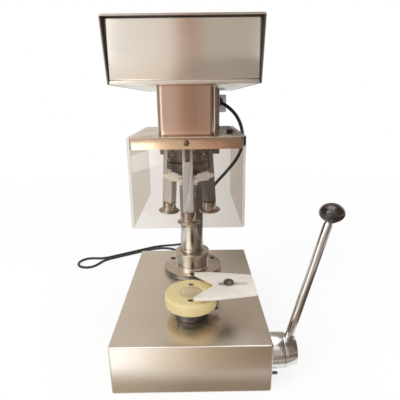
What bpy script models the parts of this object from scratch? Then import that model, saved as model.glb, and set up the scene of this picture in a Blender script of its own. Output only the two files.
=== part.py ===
"""A table-top capping machine.

A sheet-steel base carries a round column. The head on the column holds a belt drive under a long cover, and
a spinning head with three roller arms behind a clear guard. A hand lever lifts the bottle rest by rack and
pinion.

Metres, +Z up. The origin is the middle of the base's underside, and the front faces -Y.
"""

from math import acos, asin, atan2, cos, pi, radians, sin, sqrt, tan

import bmesh
import bpy
from mathutils import Euler, Matrix, Vector

# Clearance between pieces that touch, and round a shaft in its bore
GAP = 0.0003

# Base
BASE_WIDTH = 0.220
BASE_DEPTH = 0.312
BASE_HEIGHT = 0.073
BASE_WALL = 0.002
BASE_CORNER = 0.004
BOTTOM_THICKNESS = 0.003
CAPPING_FROM_FRONT = 0.076
POST_FROM_BACK = 0.082

# Column and its flange
POST_RADIUS = 0.021
POST_WALL = 0.005
FLANGE_RADIUS = 0.054
FLANGE_THICKNESS = 0.009
COLLAR_WALL = 0.0105
COLLAR_HEIGHT = 0.028
FLANGE_SCREW_CIRCLE = 0.0445
FLANGE_SCREW_ANGLES = (-90, 30, 150)
FLANGE_SCREW_HEAD_RADIUS = 0.005
FLANGE_SCREW_HEAD_HEIGHT = 0.005
FLANGE_SCREW_SHANK_RADIUS = 0.003
FLANGE_SCREW_SUNK = 0.001
SUPPORT_PLATE_WIDTH = 0.140
SUPPORT_PLATE_DEPTH = 0.120
SUPPORT_PLATE_THICKNESS = 0.006

# Lift shaft, its bush and the bottle rest
LIFT_SHAFT_RADIUS = 0.0125
LIFT_SHAFT_FLOOR_GAP = 0.003
LIFT_FLANGE_RADIUS = 0.028
LIFT_FLANGE_THICKNESS = 0.0047
BUSH_WALL = 0.0065
BUSH_FLANGE_WALL = 0.0125
BUSH_RISE = 0.0096
BUSH_SPIGOT_LENGTH = 0.023
REST_RADIUS = 0.0393
REST_THICKNESS = 0.0185
REST_EDGE = 0.0015
INSERT_RADIUS = 0.0165
INSERT_THICKNESS = 0.004
REST_SCREW_OFFSET = 0.0225
REST_SCREW_HEAD_RADIUS = 0.0035
REST_SCREW_HEAD_HEIGHT = 0.004
REST_SCREW_SHANK_RADIUS = 0.002
REST_SCREW_SUNK = 0.005

# Rack and pinion
MODULE = 0.002
PINION_TEETH = 18
RACK_TEETH = 6
PRESSURE_ANGLE = radians(20)
BACKLASH = 0.0003
ROOT_CLEARANCE = 0.25
RACK_WIDTH = 0.012
RACK_STAND_OFF = 0.0055
FLANK_STEPS = 3

# Lever
LEVER_HEIGHT = 0.035
LEVER_SHAFT_RADIUS = 0.008
BOSS_RADIUS = 0.025
BOSS_LENGTH = 0.0202
LEVER_HUB_LENGTH = 0.0187
LEVER_HUB_END_RADIUS = 0.020
LEVER_HUB_CAP = 0.004
SHAFT_SUPPORT_LENGTH = 0.012
SHAFT_SUPPORT_WIDTH = 0.028
SHAFT_SUPPORT_CROWN = 0.014
SHAFT_SUPPORT_SPACE = 0.008
ROD_RADIUS = 0.006
ROD_LENGTH = 0.199
ROD_ROOT_INSET = 0.0068
ROD_ROOT_RISE = 0.004
ROD_LEAN_OUT = radians(15.5)
ROD_LEAN_BACK = radians(3.85)
KNOB_RADIUS = 0.0175
KNOB_HALF_HEIGHT = 0.013

# Earth stud on the right wall
STUD_RADIUS = 0.0025
STUD_LENGTH = 0.0125
STUD_NUT_RADIUS = 0.0046
STUD_NUT_HEIGHT = 0.004
STUD_AHEAD = 0.016
STUD_HEIGHT = 0.0085

# Locator plate, its bracket and bolt
BRACKET_THICKNESS = 0.003
BRACKET_SIDE = 0.005
LOCATOR_RISE = 0.0075
LOCATOR_THICKNESS = 0.005
LOCATOR_TIP = 0.005
LOCATOR_TIP_BLUNT = 0.004
LOCATOR_SHOULDER = 0.032
LOCATOR_END = 0.0945
LOCATOR_SPREAD = 0.076
LOCATOR_END_WIDTH = 0.054
NOTCH_DEPTH = 0.032
NOTCH_FILLET = 0.009
SLOT_START = 0.041
SLOT_END = 0.084
BOLT_REACH = 0.056
BOLT_RADIUS = 0.004
BOLT_HEAD_RADIUS = 0.0075
BOLT_HEAD_HEIGHT = 0.0053
BOLT_NUT_HEIGHT = 0.0065
BRACKET_PAST_BOLT = 0.016

# Head: arm plate, belt cover, neck and column housing
ARM_PLATE_HEIGHT = 0.402
ARM_PLATE_THICKNESS = 0.004
COVER_WIDTH = 0.164
COVER_HEIGHT = 0.065
COVER_WALL = 0.002
COVER_LEAN = 0.015
COVER_PAST_MOTOR = 0.002
PANEL_THICKNESS = 0.002
PANEL_INSET = 0.001
PANEL_LEAN = 0.009
NECK_WIDTH = 0.068
NECK_DEPTH = 0.098
NECK_HEIGHT = 0.057
NECK_WALL = 0.0015
NECK_CORNER = 0.008
HOUSING_WIDTH = 0.097
HOUSING_AHEAD = 0.050
HOUSING_BEHIND = 0.003
HOUSING_DEPTH = 0.102
HOUSING_WALL = 0.002
HOUSING_CORNER = 0.004
CLAMP_WIDTH = 0.076
CLAMP_HEIGHT = 0.050
CLAMP_WALL = 0.012

# Tray and guard
TRAY_WIDTH = 0.1314
TRAY_AHEAD = 0.063
TRAY_WALL = 0.0015
TRAY_STRIP = 0.014
TRAY_HOLE_RADIUS = 0.024
GUARD_THICKNESS = 0.003
GUARD_HEIGHT = 0.109
GUARD_BEND = 0.006
GUARD_SCREW_RADIUS = 0.002
GUARD_SCREW_HEAD_RADIUS = 0.0038
GUARD_SCREW_HEAD_HEIGHT = 0.0022
GUARD_SCREW_LENGTH = 0.009
GUARD_SCREW_DROP = 0.007
TRAY_SCREW_SIDE = 0.054
TRAY_SCREW_AHEAD = 0.014
TRAY_SCREW_HEAD_RADIUS = 0.0045
TRAY_SCREW_HEAD_HEIGHT = 0.0045
TRAY_SCREW_LENGTH = 0.007

# Spindle and belt drive
SPINDLE_RADIUS = 0.010
BEARING_SECTION = 0.010
BEARING_WIDTH = 0.012
BEARING_INSET = 0.0047
HOUSING_TUBE_WALL = 0.006
SHOULDER_STEP = 0.004
SPINDLE_SPIGOT_RADIUS = 0.006
SPINDLE_SPIGOT_LENGTH = 0.008
SPINDLE_PAST_PULLEY = 0.006
SPINDLE_PULLEY_RADIUS = 0.046
MOTOR_PULLEY_RADIUS = 0.016
PULLEY_LIP = 0.006
PULLEY_WIDTH = 0.016
PULLEY_CHEEK = 0.003
PULLEY_RISE = 0.006
BELT_THICKNESS = 0.005
MOTOR_RADIUS = 0.038
MOTOR_LENGTH = 0.110
MOTOR_END_EDGE = 0.008
MOTOR_SPACE = 0.002
MOTOR_SHAFT_RADIUS = 0.007
MOTOR_SHAFT_SEAT = 0.036

# Switch box on the motor
SWITCH_BOX_WIDTH = 0.0297
SWITCH_BOX_DEPTH = 0.025
SWITCH_BOX_HEIGHT = 0.032
SWITCH_BOX_DROP = 0.008
ROCKER_HALF_HEIGHT = 0.0063
ROCKER_WIDTH = 0.009
ROCKER_BACK = 0.002
ROCKER_FRONT = 0.0034
ROCKER_WAIST = 0.0016
ROCKER_SINK = 0.0015
ROCKER_TILT = radians(8)
ROCKER_POCKET_HALF = 0.0071
ROCKER_POCKET_DEPTH = 0.0034

# Capping head
PIVOT_DROP = 0.116
PIVOT_CIRCLE = 0.030
PIVOT_PIN_RADIUS = 0.0025
ARM_ANGLES = (-90, 30, 150)
ARM_REST_TILT = radians(4)
ARM_SWING = radians(9)
ARM_WIDTH = 0.013
ARM_DEPTH = 0.015
ARM_BELOW = 0.0395
ARM_ABOVE = 0.044
ARM_STEP = 0.009
UPPER_ARM_DEPTH = 0.0065
FORK_GAP = 0.006
FORK_DEPTH = 0.019
FOLLOWER_HEIGHT = 0.034
FOLLOWER_RADIUS = 0.0085
FOLLOWER_PIN_RADIUS = 0.002
EAR_THICKNESS = 0.005
EAR_SPACE = 0.0005
EAR_HEIGHT = 0.0125
EAR_REACH = 0.0335
EAR_ROOT = 0.008
HUB_BOSS_WALL = 0.006
HUB_BELOW = 0.010
HUB_BELOW_TRAY = 0.004
CONE_TRAVEL = 0.010
CONE_PAST_CONTACT = 0.002
CONE_SPACE = 0.0005
PRESS_ROD_RADIUS = 0.004
PRESS_ROD_BELOW = 0.024
PRESS_ROD_PAST_PIN = 0.003
CROSS_PIN_RADIUS = 0.002
CROSS_PIN_PAST_TUBE = 0.004
PAD_RADIUS = 0.009
PAD_THICKNESS = 0.006
ROLLER_HUB_RADIUS = 0.0095
ROLLER_HUB_HEIGHT = 0.0115
ROLLER_DISC_RADIUS = 0.015
ROLLER_DISC_THICKNESS = 0.0032
ROLLER_EDGE = 0.0012
AXLE_RADIUS = 0.004
AXLE_LENGTH = 0.010

# Mains lead: strain relief, free stretch, coil, tie and plug
CORD_RADIUS = 0.003
GLAND_LENGTH = 0.020
GLAND_ROOT_RADIUS = 0.008
GLAND_TIP_RADIUS = 0.0045
GLAND_SIDE = 0.0157
GLAND_BELOW_TOP = 0.013
LEAD_STEP = 0.016
LEAD_ROUTE = [
    (0.0540, 0.1167, 0.3810), (0.0540, 0.1060, 0.3810), (0.0562, 0.0955, 0.3798), (0.0620, 0.0872, 0.3765),
    (0.0702, 0.0822, 0.3705), (0.0790, 0.0808, 0.3615), (0.0865, 0.0825, 0.3500), (0.0920, 0.0865, 0.3350),
    (0.0945, 0.0915, 0.3190), (0.0940, 0.0960, 0.3040), (0.0880, 0.1020, 0.2840), (0.0750, 0.1090, 0.2640),
    (0.0600, 0.1180, 0.2440),
    (0.0440, 0.1350, 0.2210), (0.0300, 0.1660, 0.1830), (0.0180, 0.2120, 0.1340), (0.0060, 0.2560, 0.0870),
    (-0.0080, 0.2950, 0.0450), (-0.0270, 0.3250, 0.0175), (-0.0500, 0.3420, 0.0060), (-0.0780, 0.3455, 0.0031),
    (-0.1100, 0.3355, 0.0031), (-0.1400, 0.3185, 0.0031), (-0.1726, 0.2998, 0.0031), (-0.1986, 0.2848, 0.0031),
    (-0.2202, 0.2723, 0.0031), (-0.2318, 0.2685, 0.0031), (-0.2465, 0.2705, 0.0031), (-0.2636, 0.2716, 0.0031),
    (-0.2773, 0.2629, 0.0031), (-0.2835, 0.2479, 0.0031), (-0.2800, 0.2320, 0.0031), (-0.2679, 0.2211, 0.0031),
    (-0.2519, 0.2189, 0.0031), (-0.2375, 0.2264, 0.0031), (-0.2299, 0.2418, 0.0031), (-0.2243, 0.2555, 0.0031),
    (-0.2152, 0.2637, 0.0031), (-0.1936, 0.2762, 0.0031), (-0.1676, 0.2912, 0.0031), (-0.1330, 0.3110, 0.0031),
    (-0.1040, 0.3245, 0.0031), (-0.0780, 0.3280, 0.0031), (-0.0550, 0.3200, 0.0031), (-0.0380, 0.3020, 0.0031),
    (-0.0250, 0.2810, 0.0031), (-0.0100, 0.2622, 0.0033), (0.0050, 0.2545, 0.0039), (0.0217, 0.25405, 0.0041),
]
COIL_CENTRE = (0.028, 0.215)
COIL_INNER_RADIUS = 0.0275
COIL_PITCH = 0.0066
COIL_TURNS = 3.5
COIL_CLIMB_TURNS = 0.5
COIL_START_ANGLE = radians(90)
COIL_TAIL = 0.040
LOOP_POINTS = 24
COIL_HEIGHT = 0.0041
TIE_THICKNESS = 0.0008
TIE_WIDTH = 0.008
PLUG_LENGTH = 0.042
PLUG_WIDTH = 0.026
PLUG_NECK_WIDTH = 0.012
PLUG_NECK_LENGTH = 0.018
PLUG_PIN_RADIUS = 0.002
PLUG_PIN_LENGTH = 0.019
PLUG_PIN_SPACING = 0.019

# Facets
ROUND = 24
SMALL_ROUND = 12
CORNER_STEPS = 3
ROUTE_STEPS = 12
SHARP_ANGLE = radians(35)

# Places worked out from the sizes above
FRONT_Y = -BASE_DEPTH / 2
CAPPING_Y = FRONT_Y + CAPPING_FROM_FRONT
POST_Y = BASE_DEPTH / 2 - POST_FROM_BACK
PITCH_RADIUS = MODULE * PINION_TEETH / 2
TOOTH_PITCH = pi * MODULE
RACK_PITCH_OFFSET = LIFT_SHAFT_RADIUS + RACK_STAND_OFF
LEVER_Y = CAPPING_Y - RACK_PITCH_OFFSET - PITCH_RADIUS
BUSH_TOP = BASE_HEIGHT + GAP + BUSH_RISE
BRACKET_FOOT = BUSH_TOP + GAP
LIFT_FLANGE_BASE = BRACKET_FOOT + BRACKET_THICKNESS + GAP
REST_BASE = LIFT_FLANGE_BASE + LIFT_FLANGE_THICKNESS + GAP
REST_TOP = REST_BASE + REST_THICKNESS
LOCATOR_BASE = REST_TOP + LOCATOR_RISE
PLATE_TOP = ARM_PLATE_HEIGHT + ARM_PLATE_THICKNESS
TRAY_TOP = ARM_PLATE_HEIGHT - NECK_HEIGHT
HOUSING_FRONT = POST_Y - HOUSING_AHEAD
HOUSING_BACK = POST_Y + POST_RADIUS + CLAMP_WALL + HOUSING_BEHIND
MOTOR_Y = HOUSING_BACK + MOTOR_SPACE + MOTOR_RADIUS
COVER_BACK = MOTOR_Y + MOTOR_RADIUS + COVER_PAST_MOTOR
PIVOT_Z = ARM_PLATE_HEIGHT - PIVOT_DROP
BEARING_RADIUS = SPINDLE_RADIUS + BEARING_SECTION
HUB_TOP = TRAY_TOP - HUB_BELOW_TRAY
PULLEY_BASE = PLATE_TOP + PULLEY_RISE
PULLEY_TOP = PULLEY_BASE + PULLEY_WIDTH

# Finish: base colour, roughness, metallic, transmission
FINISHES = {
    "satin steel": ((0.58, 0.54, 0.50), 0.32, 1.0, 0.0),
    "polished steel": ((0.72, 0.70, 0.68), 0.12, 1.0, 0.0),
    "grey steel": ((0.44, 0.44, 0.45), 0.38, 1.0, 0.0),
    "dark steel": ((0.16, 0.15, 0.15), 0.45, 1.0, 0.0),
    "cream nylon": ((0.74, 0.66, 0.40), 0.42, 0.0, 0.0),
    "white plastic": ((0.82, 0.80, 0.76), 0.45, 0.0, 0.0),
    "clear plastic": ((0.92, 0.91, 0.88), 0.08, 0.0, 0.9),
    "black plastic": ((0.03, 0.025, 0.022), 0.25, 0.0, 0.0),
    "grey plastic": ((0.35, 0.35, 0.34), 0.5, 0.0, 0.0),
    "grey paint": ((0.30, 0.32, 0.33), 0.45, 0.0, 0.0),
    "black rubber": ((0.02, 0.02, 0.02), 0.6, 0.0, 0.0),
}

# Turns that lay a shape's own Z axis along another direction
ALONG_X = (0, pi / 2, 0)
TOWARDS_FRONT = (pi / 2, 0, 0)
# Turn that keeps the corners of a small round hole off the edges of the round piece it is cut in
HALF_STEP = (0, 0, pi / SMALL_ROUND)


def clear_scene():
    """Remove every object of the open scene."""
    for old in list(bpy.data.objects):
        bpy.data.objects.remove(old)


def finish_material(name, finish):
    """A Principled material of one of the finishes."""
    colour, roughness, metallic, transmission = FINISHES[finish]
    material = bpy.data.materials.new(name)
    material.use_nodes = True
    shader = material.node_tree.nodes["Principled BSDF"]
    shader.inputs["Base Color"].default_value = (*colour, 1.0)
    shader.inputs["Roughness"].default_value = roughness
    shader.inputs["Metallic"].default_value = metallic
    shader.inputs["Transmission Weight"].default_value = transmission
    material.diffuse_color = (*colour, 1.0)
    return material


def add(name, shape, finish, location=(0, 0, 0), rotation=(0, 0, 0)):
    """Turn a bmesh into a named object with its own material."""
    mesh = bpy.data.meshes.new(name)
    shape.to_mesh(mesh)
    shape.free()
    mesh.shade_smooth()
    mesh.set_sharp_from_angle(angle=SHARP_ANGLE)
    mesh.materials.append(finish_material(f"{name} finish", finish))
    piece = bpy.data.objects.new(name, mesh)
    piece.location = location
    piece.rotation_euler = rotation
    bpy.context.scene.collection.objects.link(piece)
    return piece


def combine(piece, operation, shape, location, rotation):
    """Add or take away a shape, which stays as a hidden guide."""
    guide = add(f"{piece.name}.guide{len(piece.modifiers)}", shape, "grey plastic", location, rotation)
    guide.hide_render = True
    guide.display_type = "WIRE"
    boolean = piece.modifiers.new(operation.lower(), "BOOLEAN")
    boolean.operation = operation
    boolean.object = guide


def cut(piece, shape, location=(0, 0, 0), rotation=(0, 0, 0)):
    """Cut a shape out of a piece."""
    combine(piece, "DIFFERENCE", shape, location, rotation)


def fuse(piece, shape, location=(0, 0, 0), rotation=(0, 0, 0)):
    """Join a shape to a piece."""
    combine(piece, "UNION", shape, location, rotation)


def turned(profile, steps=ROUND):
    """Spin a profile of (radius, height) points round Z: off the axis a closed ring, on it a solid."""
    shape = bmesh.new()
    points = [shape.verts.new((radius, 0, height)) for radius, height in profile]
    edges = [shape.edges.new(pair) for pair in zip(points, points[1:])]
    if profile[0][0] > 0:
        edges.append(shape.edges.new((points[-1], points[0])))
    bmesh.ops.spin(shape, geom=points + edges, cent=(0, 0, 0), axis=(0, 0, 1), angle=2 * pi,
                   steps=steps, use_merge=True)
    bmesh.ops.remove_doubles(shape, verts=shape.verts, dist=1e-6)
    bmesh.ops.recalc_face_normals(shape, faces=shape.faces)
    return shape


def cylinder(radius, low, high, steps=ROUND):
    """A round bar on the Z axis."""
    return turned([(0, low), (radius, low), (radius, high), (0, high)], steps)


def tube(outer, inner, low, high, steps=ROUND):
    """A round ring on the Z axis."""
    return turned([(inner, low), (outer, low), (outer, high), (inner, high)], steps)


def prism(outline, low, high, axis="Z"):
    """Extrude an outline along an axis. The outline is in XY for Z, in XZ for Y and in YZ for X."""
    place = {
        "X": lambda u, v, w: (w, u, v),
        "Y": lambda u, v, w: (u, w, v),
        "Z": lambda u, v, w: (u, v, w),
    }[axis]
    shape = bmesh.new()
    face = shape.faces.new([shape.verts.new(place(u, v, low)) for u, v in outline])
    grown = bmesh.ops.extrude_face_region(shape, geom=[face])["geom"]
    moved = [item for item in grown if isinstance(item, bmesh.types.BMVert)]
    bmesh.ops.translate(shape, verts=moved, vec=place(0, 0, high - low))
    bmesh.ops.recalc_face_normals(shape, faces=shape.faces)
    return shape


def rectangle(left, right, low, high):
    """The four corners of a rectangle."""
    return [(left, low), (right, low), (right, high), (left, high)]


def block(left, right, front, back, low, high):
    """A box between six planes."""
    return prism(rectangle(left, right, front, back), low, high)


def arc(centre, radius, start, end, steps):
    """Points along an arc, both ends included."""
    angles = [start + (end - start) * step / steps for step in range(steps + 1)]
    return [(centre[0] + radius * cos(angle), centre[1] + radius * sin(angle)) for angle in angles]


def rounded_rectangle(left, right, low, high, radius):
    """A rectangle's outline with round corners."""
    corners = ((right - radius, low + radius, -90), (right - radius, high - radius, 0),
               (left + radius, high - radius, 90), (left + radius, low + radius, 180))
    outline = []
    for u, v, start in corners:
        outline += arc((u, v), radius, radians(start), radians(start + 90), CORNER_STEPS)
    return outline


def hexagon(radius):
    """A hexagon's outline, by its corner radius."""
    return [(radius * cos(radians(60 * side)), radius * sin(radians(60 * side))) for side in range(6)]


def around(radius, angle, centre_y):
    """The point at an angle in degrees on a circle round an upright axis."""
    return (radius * cos(radians(angle)), centre_y + radius * sin(radians(angle)))


def base():
    """Folded base cover, bottom plate, stiffener, and the column with its flange and screws."""
    half_width = BASE_WIDTH / 2
    half_depth = BASE_DEPTH / 2
    under_top = BASE_HEIGHT - BASE_WALL
    cover = add("base_cover", prism(rounded_rectangle(-half_width, half_width, -half_depth, half_depth,
                                                      BASE_CORNER), 0, BASE_HEIGHT), "satin steel")
    inner_x = half_width - BASE_WALL
    inner_y = half_depth - BASE_WALL
    inner_corner = BASE_CORNER - BASE_WALL
    cut(cover, prism(rounded_rectangle(-inner_x, inner_x, -inner_y, inner_y, inner_corner),
                     -BASE_WALL, under_top))
    spigot_hole = LIFT_SHAFT_RADIUS + BUSH_WALL + GAP
    cut(cover, cylinder(spigot_hole, under_top - BASE_WALL, BASE_HEIGHT + BASE_WALL), (0, CAPPING_Y, 0))
    shaft_hole = LEVER_SHAFT_RADIUS + GAP
    cut(cover, cylinder(shaft_hole, inner_x - BASE_WALL, half_width + BASE_WALL),
        (0, LEVER_Y, LEVER_HEIGHT), ALONG_X)
    cut(cover, cylinder(STUD_RADIUS + GAP, inner_x - BASE_WALL, half_width + BASE_WALL, SMALL_ROUND),
        (0, LEVER_Y - STUD_AHEAD, STUD_HEIGHT), ALONG_X)

    plate_x = inner_x - GAP
    plate_y = inner_y - GAP
    add("bottom_plate", prism(rounded_rectangle(-plate_x, plate_x, -plate_y, plate_y, inner_corner),
                              0, BOTTOM_THICKNESS), "satin steel")

    support_top = under_top - GAP
    support_base = support_top - SUPPORT_PLATE_THICKNESS
    support = add("column_support_plate",
                  block(-SUPPORT_PLATE_WIDTH / 2, SUPPORT_PLATE_WIDTH / 2, POST_Y - SUPPORT_PLATE_DEPTH / 2,
                        POST_Y + SUPPORT_PLATE_DEPTH / 2, support_base, support_top), "grey steel")

    foot = BASE_HEIGHT + GAP
    flange_top = foot + FLANGE_THICKNESS
    collar_top = flange_top + COLLAR_HEIGHT
    bore = POST_RADIUS + GAP
    collar_radius = bore + COLLAR_WALL
    flange = add("post_flange", turned([(bore, foot), (FLANGE_RADIUS, foot), (FLANGE_RADIUS, flange_top),
                                        (collar_radius, flange_top), (collar_radius, collar_top),
                                        (bore, collar_top)]), "satin steel", (0, POST_Y, 0))
    add("post", tube(POST_RADIUS, POST_RADIUS - POST_WALL, foot, ARM_PLATE_HEIGHT - GAP), "polished steel",
        (0, POST_Y, 0))

    head_top = flange_top - FLANGE_SCREW_SUNK
    head_base = head_top - FLANGE_SCREW_HEAD_HEIGHT
    shank_hole = FLANGE_SCREW_SHANK_RADIUS + GAP
    for number, angle in enumerate(FLANGE_SCREW_ANGLES, start=1):
        spot = (*around(FLANGE_SCREW_CIRCLE, angle, POST_Y), 0)
        add(f"flange_screw_{number}", turned([(0, support_base), (FLANGE_SCREW_SHANK_RADIUS, support_base),
                                              (FLANGE_SCREW_SHANK_RADIUS, head_base),
                                              (FLANGE_SCREW_HEAD_RADIUS, head_base),
                                              (FLANGE_SCREW_HEAD_RADIUS, head_top), (0, head_top)],
                                             SMALL_ROUND), "dark steel", spot, HALF_STEP)
        for piece in (cover, support, flange):
            cut(piece, cylinder(shank_hole, support_base - GAP, flange_top + GAP, SMALL_ROUND), spot, HALF_STEP)
        cut(flange, cylinder(FLANGE_SCREW_HEAD_RADIUS + GAP, head_base - GAP, flange_top + GAP, SMALL_ROUND),
            spot, HALF_STEP)


def rack_outline():
    """Rack teeth on the front of the lift shaft, in YZ, with one tooth at the lever's height."""
    root_y = CAPPING_Y - RACK_PITCH_OFFSET + MODULE * (1 + ROOT_CLEARANCE)
    tip_y = CAPPING_Y - RACK_PITCH_OFFSET - MODULE
    half_pitch_width = (TOOTH_PITCH / 2 - BACKLASH) / 2
    half_tip = half_pitch_width - MODULE * tan(PRESSURE_ANGLE)
    half_root = half_pitch_width + MODULE * (1 + ROOT_CLEARANCE) * tan(PRESSURE_ANGLE)
    lowest = LEVER_HEIGHT - (RACK_TEETH - 2) * TOOTH_PITCH
    outline = [(CAPPING_Y, lowest - TOOTH_PITCH / 2)]
    outline.append((root_y, lowest - TOOTH_PITCH / 2))
    for tooth in range(RACK_TEETH):
        middle = lowest + tooth * TOOTH_PITCH
        outline += [(root_y, middle - half_root), (tip_y, middle - half_tip),
                    (tip_y, middle + half_tip), (root_y, middle + half_root)]
    top = lowest + (RACK_TEETH - 0.5) * TOOTH_PITCH
    outline += [(root_y, top), (CAPPING_Y, top)]
    return outline


def pinion_outline():
    """Involute teeth round the lever's axis, in YZ, with a tooth gap facing the rack."""
    base_radius = PITCH_RADIUS * cos(PRESSURE_ANGLE)
    tip_radius = PITCH_RADIUS + MODULE
    root_radius = PITCH_RADIUS - MODULE * (1 + ROOT_CLEARANCE)
    half_tooth = (TOOTH_PITCH / 2 - BACKLASH) / (2 * PITCH_RADIUS)
    at_pitch = tan(PRESSURE_ANGLE) - PRESSURE_ANGLE
    flank = []
    for step in range(FLANK_STEPS + 1):
        radius = base_radius + (tip_radius - base_radius) * step / FLANK_STEPS
        roll = acos(base_radius / radius)
        flank.append((radius, half_tooth + at_pitch - (tan(roll) - roll)))
    flank.insert(0, (root_radius, flank[0][1]))
    outline = []
    for tooth in range(PINION_TEETH):
        middle = (tooth + 0.5) * 2 * pi / PINION_TEETH
        sides = [(radius, middle - angle) for radius, angle in flank]
        sides += [(radius, middle + angle) for radius, angle in reversed(flank)]
        outline += [(radius * cos(angle), radius * sin(angle)) for radius, angle in sides]
    return outline


def lift():
    """Guide bush, lift shaft with its rack, and the bottle rest with its insert and screws."""
    bore = LIFT_SHAFT_RADIUS + GAP
    spigot = LIFT_SHAFT_RADIUS + BUSH_WALL
    bush_flange = LIFT_SHAFT_RADIUS + BUSH_FLANGE_WALL
    seat = BASE_HEIGHT + GAP
    bush_base = BASE_HEIGHT - BUSH_SPIGOT_LENGTH
    bush = add("lift_bush", turned([(bore, bush_base), (spigot, bush_base), (spigot, seat),
                                    (bush_flange, seat), (bush_flange, BUSH_TOP), (bore, BUSH_TOP)]),
               "dark steel", (0, CAPPING_Y, 0))
    slot_half = RACK_WIDTH / 2 + 2 * GAP
    cut(bush, block(-slot_half, slot_half, CAPPING_Y - 2 * spigot, CAPPING_Y, bush_base - BASE_WALL,
                    BASE_HEIGHT - BASE_WALL))

    shaft_base = BOTTOM_THICKNESS + LIFT_SHAFT_FLOOR_GAP
    flange_top = LIFT_FLANGE_BASE + LIFT_FLANGE_THICKNESS
    shaft = add("lift_shaft", turned([(0, shaft_base), (LIFT_SHAFT_RADIUS, shaft_base),
                                      (LIFT_SHAFT_RADIUS, LIFT_FLANGE_BASE),
                                      (LIFT_FLANGE_RADIUS, LIFT_FLANGE_BASE),
                                      (LIFT_FLANGE_RADIUS, flange_top), (0, flange_top)]),
                "polished steel", (0, CAPPING_Y, 0))
    fuse(shaft, prism(rack_outline(), -RACK_WIDTH / 2, RACK_WIDTH / 2, "X"))

    edge = REST_EDGE
    rest = add("bottle_rest", turned([(0, REST_BASE), (REST_RADIUS - edge, REST_BASE),
                                      (REST_RADIUS, REST_BASE + edge), (REST_RADIUS, REST_TOP - edge),
                                      (REST_RADIUS - edge, REST_TOP), (0, REST_TOP)]),
               "cream nylon", (0, CAPPING_Y, 0))
    insert_base = REST_TOP - INSERT_THICKNESS
    cut(rest, cylinder(INSERT_RADIUS + GAP, insert_base - GAP, REST_TOP + GAP), (0, CAPPING_Y, 0))
    add("rest_insert", cylinder(INSERT_RADIUS, insert_base, REST_TOP), "satin steel", (0, CAPPING_Y, 0))

    head_top = REST_TOP - REST_SCREW_SUNK
    head_base = head_top - REST_SCREW_HEAD_HEIGHT
    for number, side in enumerate((-1, 1), start=1):
        spot = (0, CAPPING_Y + side * REST_SCREW_OFFSET, 0)
        add(f"rest_screw_{number}", turned([(0, LIFT_FLANGE_BASE), (REST_SCREW_SHANK_RADIUS, LIFT_FLANGE_BASE),
                                            (REST_SCREW_SHANK_RADIUS, head_base),
                                            (REST_SCREW_HEAD_RADIUS, head_base),
                                            (REST_SCREW_HEAD_RADIUS, head_top), (0, head_top)], SMALL_ROUND),
            "dark steel", spot)
        for piece in (rest, shaft):
            cut(piece, cylinder(REST_SCREW_SHANK_RADIUS + GAP, LIFT_FLANGE_BASE - GAP, REST_TOP + GAP,
                                SMALL_ROUND), spot)
        cut(rest, cylinder(REST_SCREW_HEAD_RADIUS + GAP, head_base - GAP, REST_TOP + GAP, SMALL_ROUND), spot)


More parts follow.
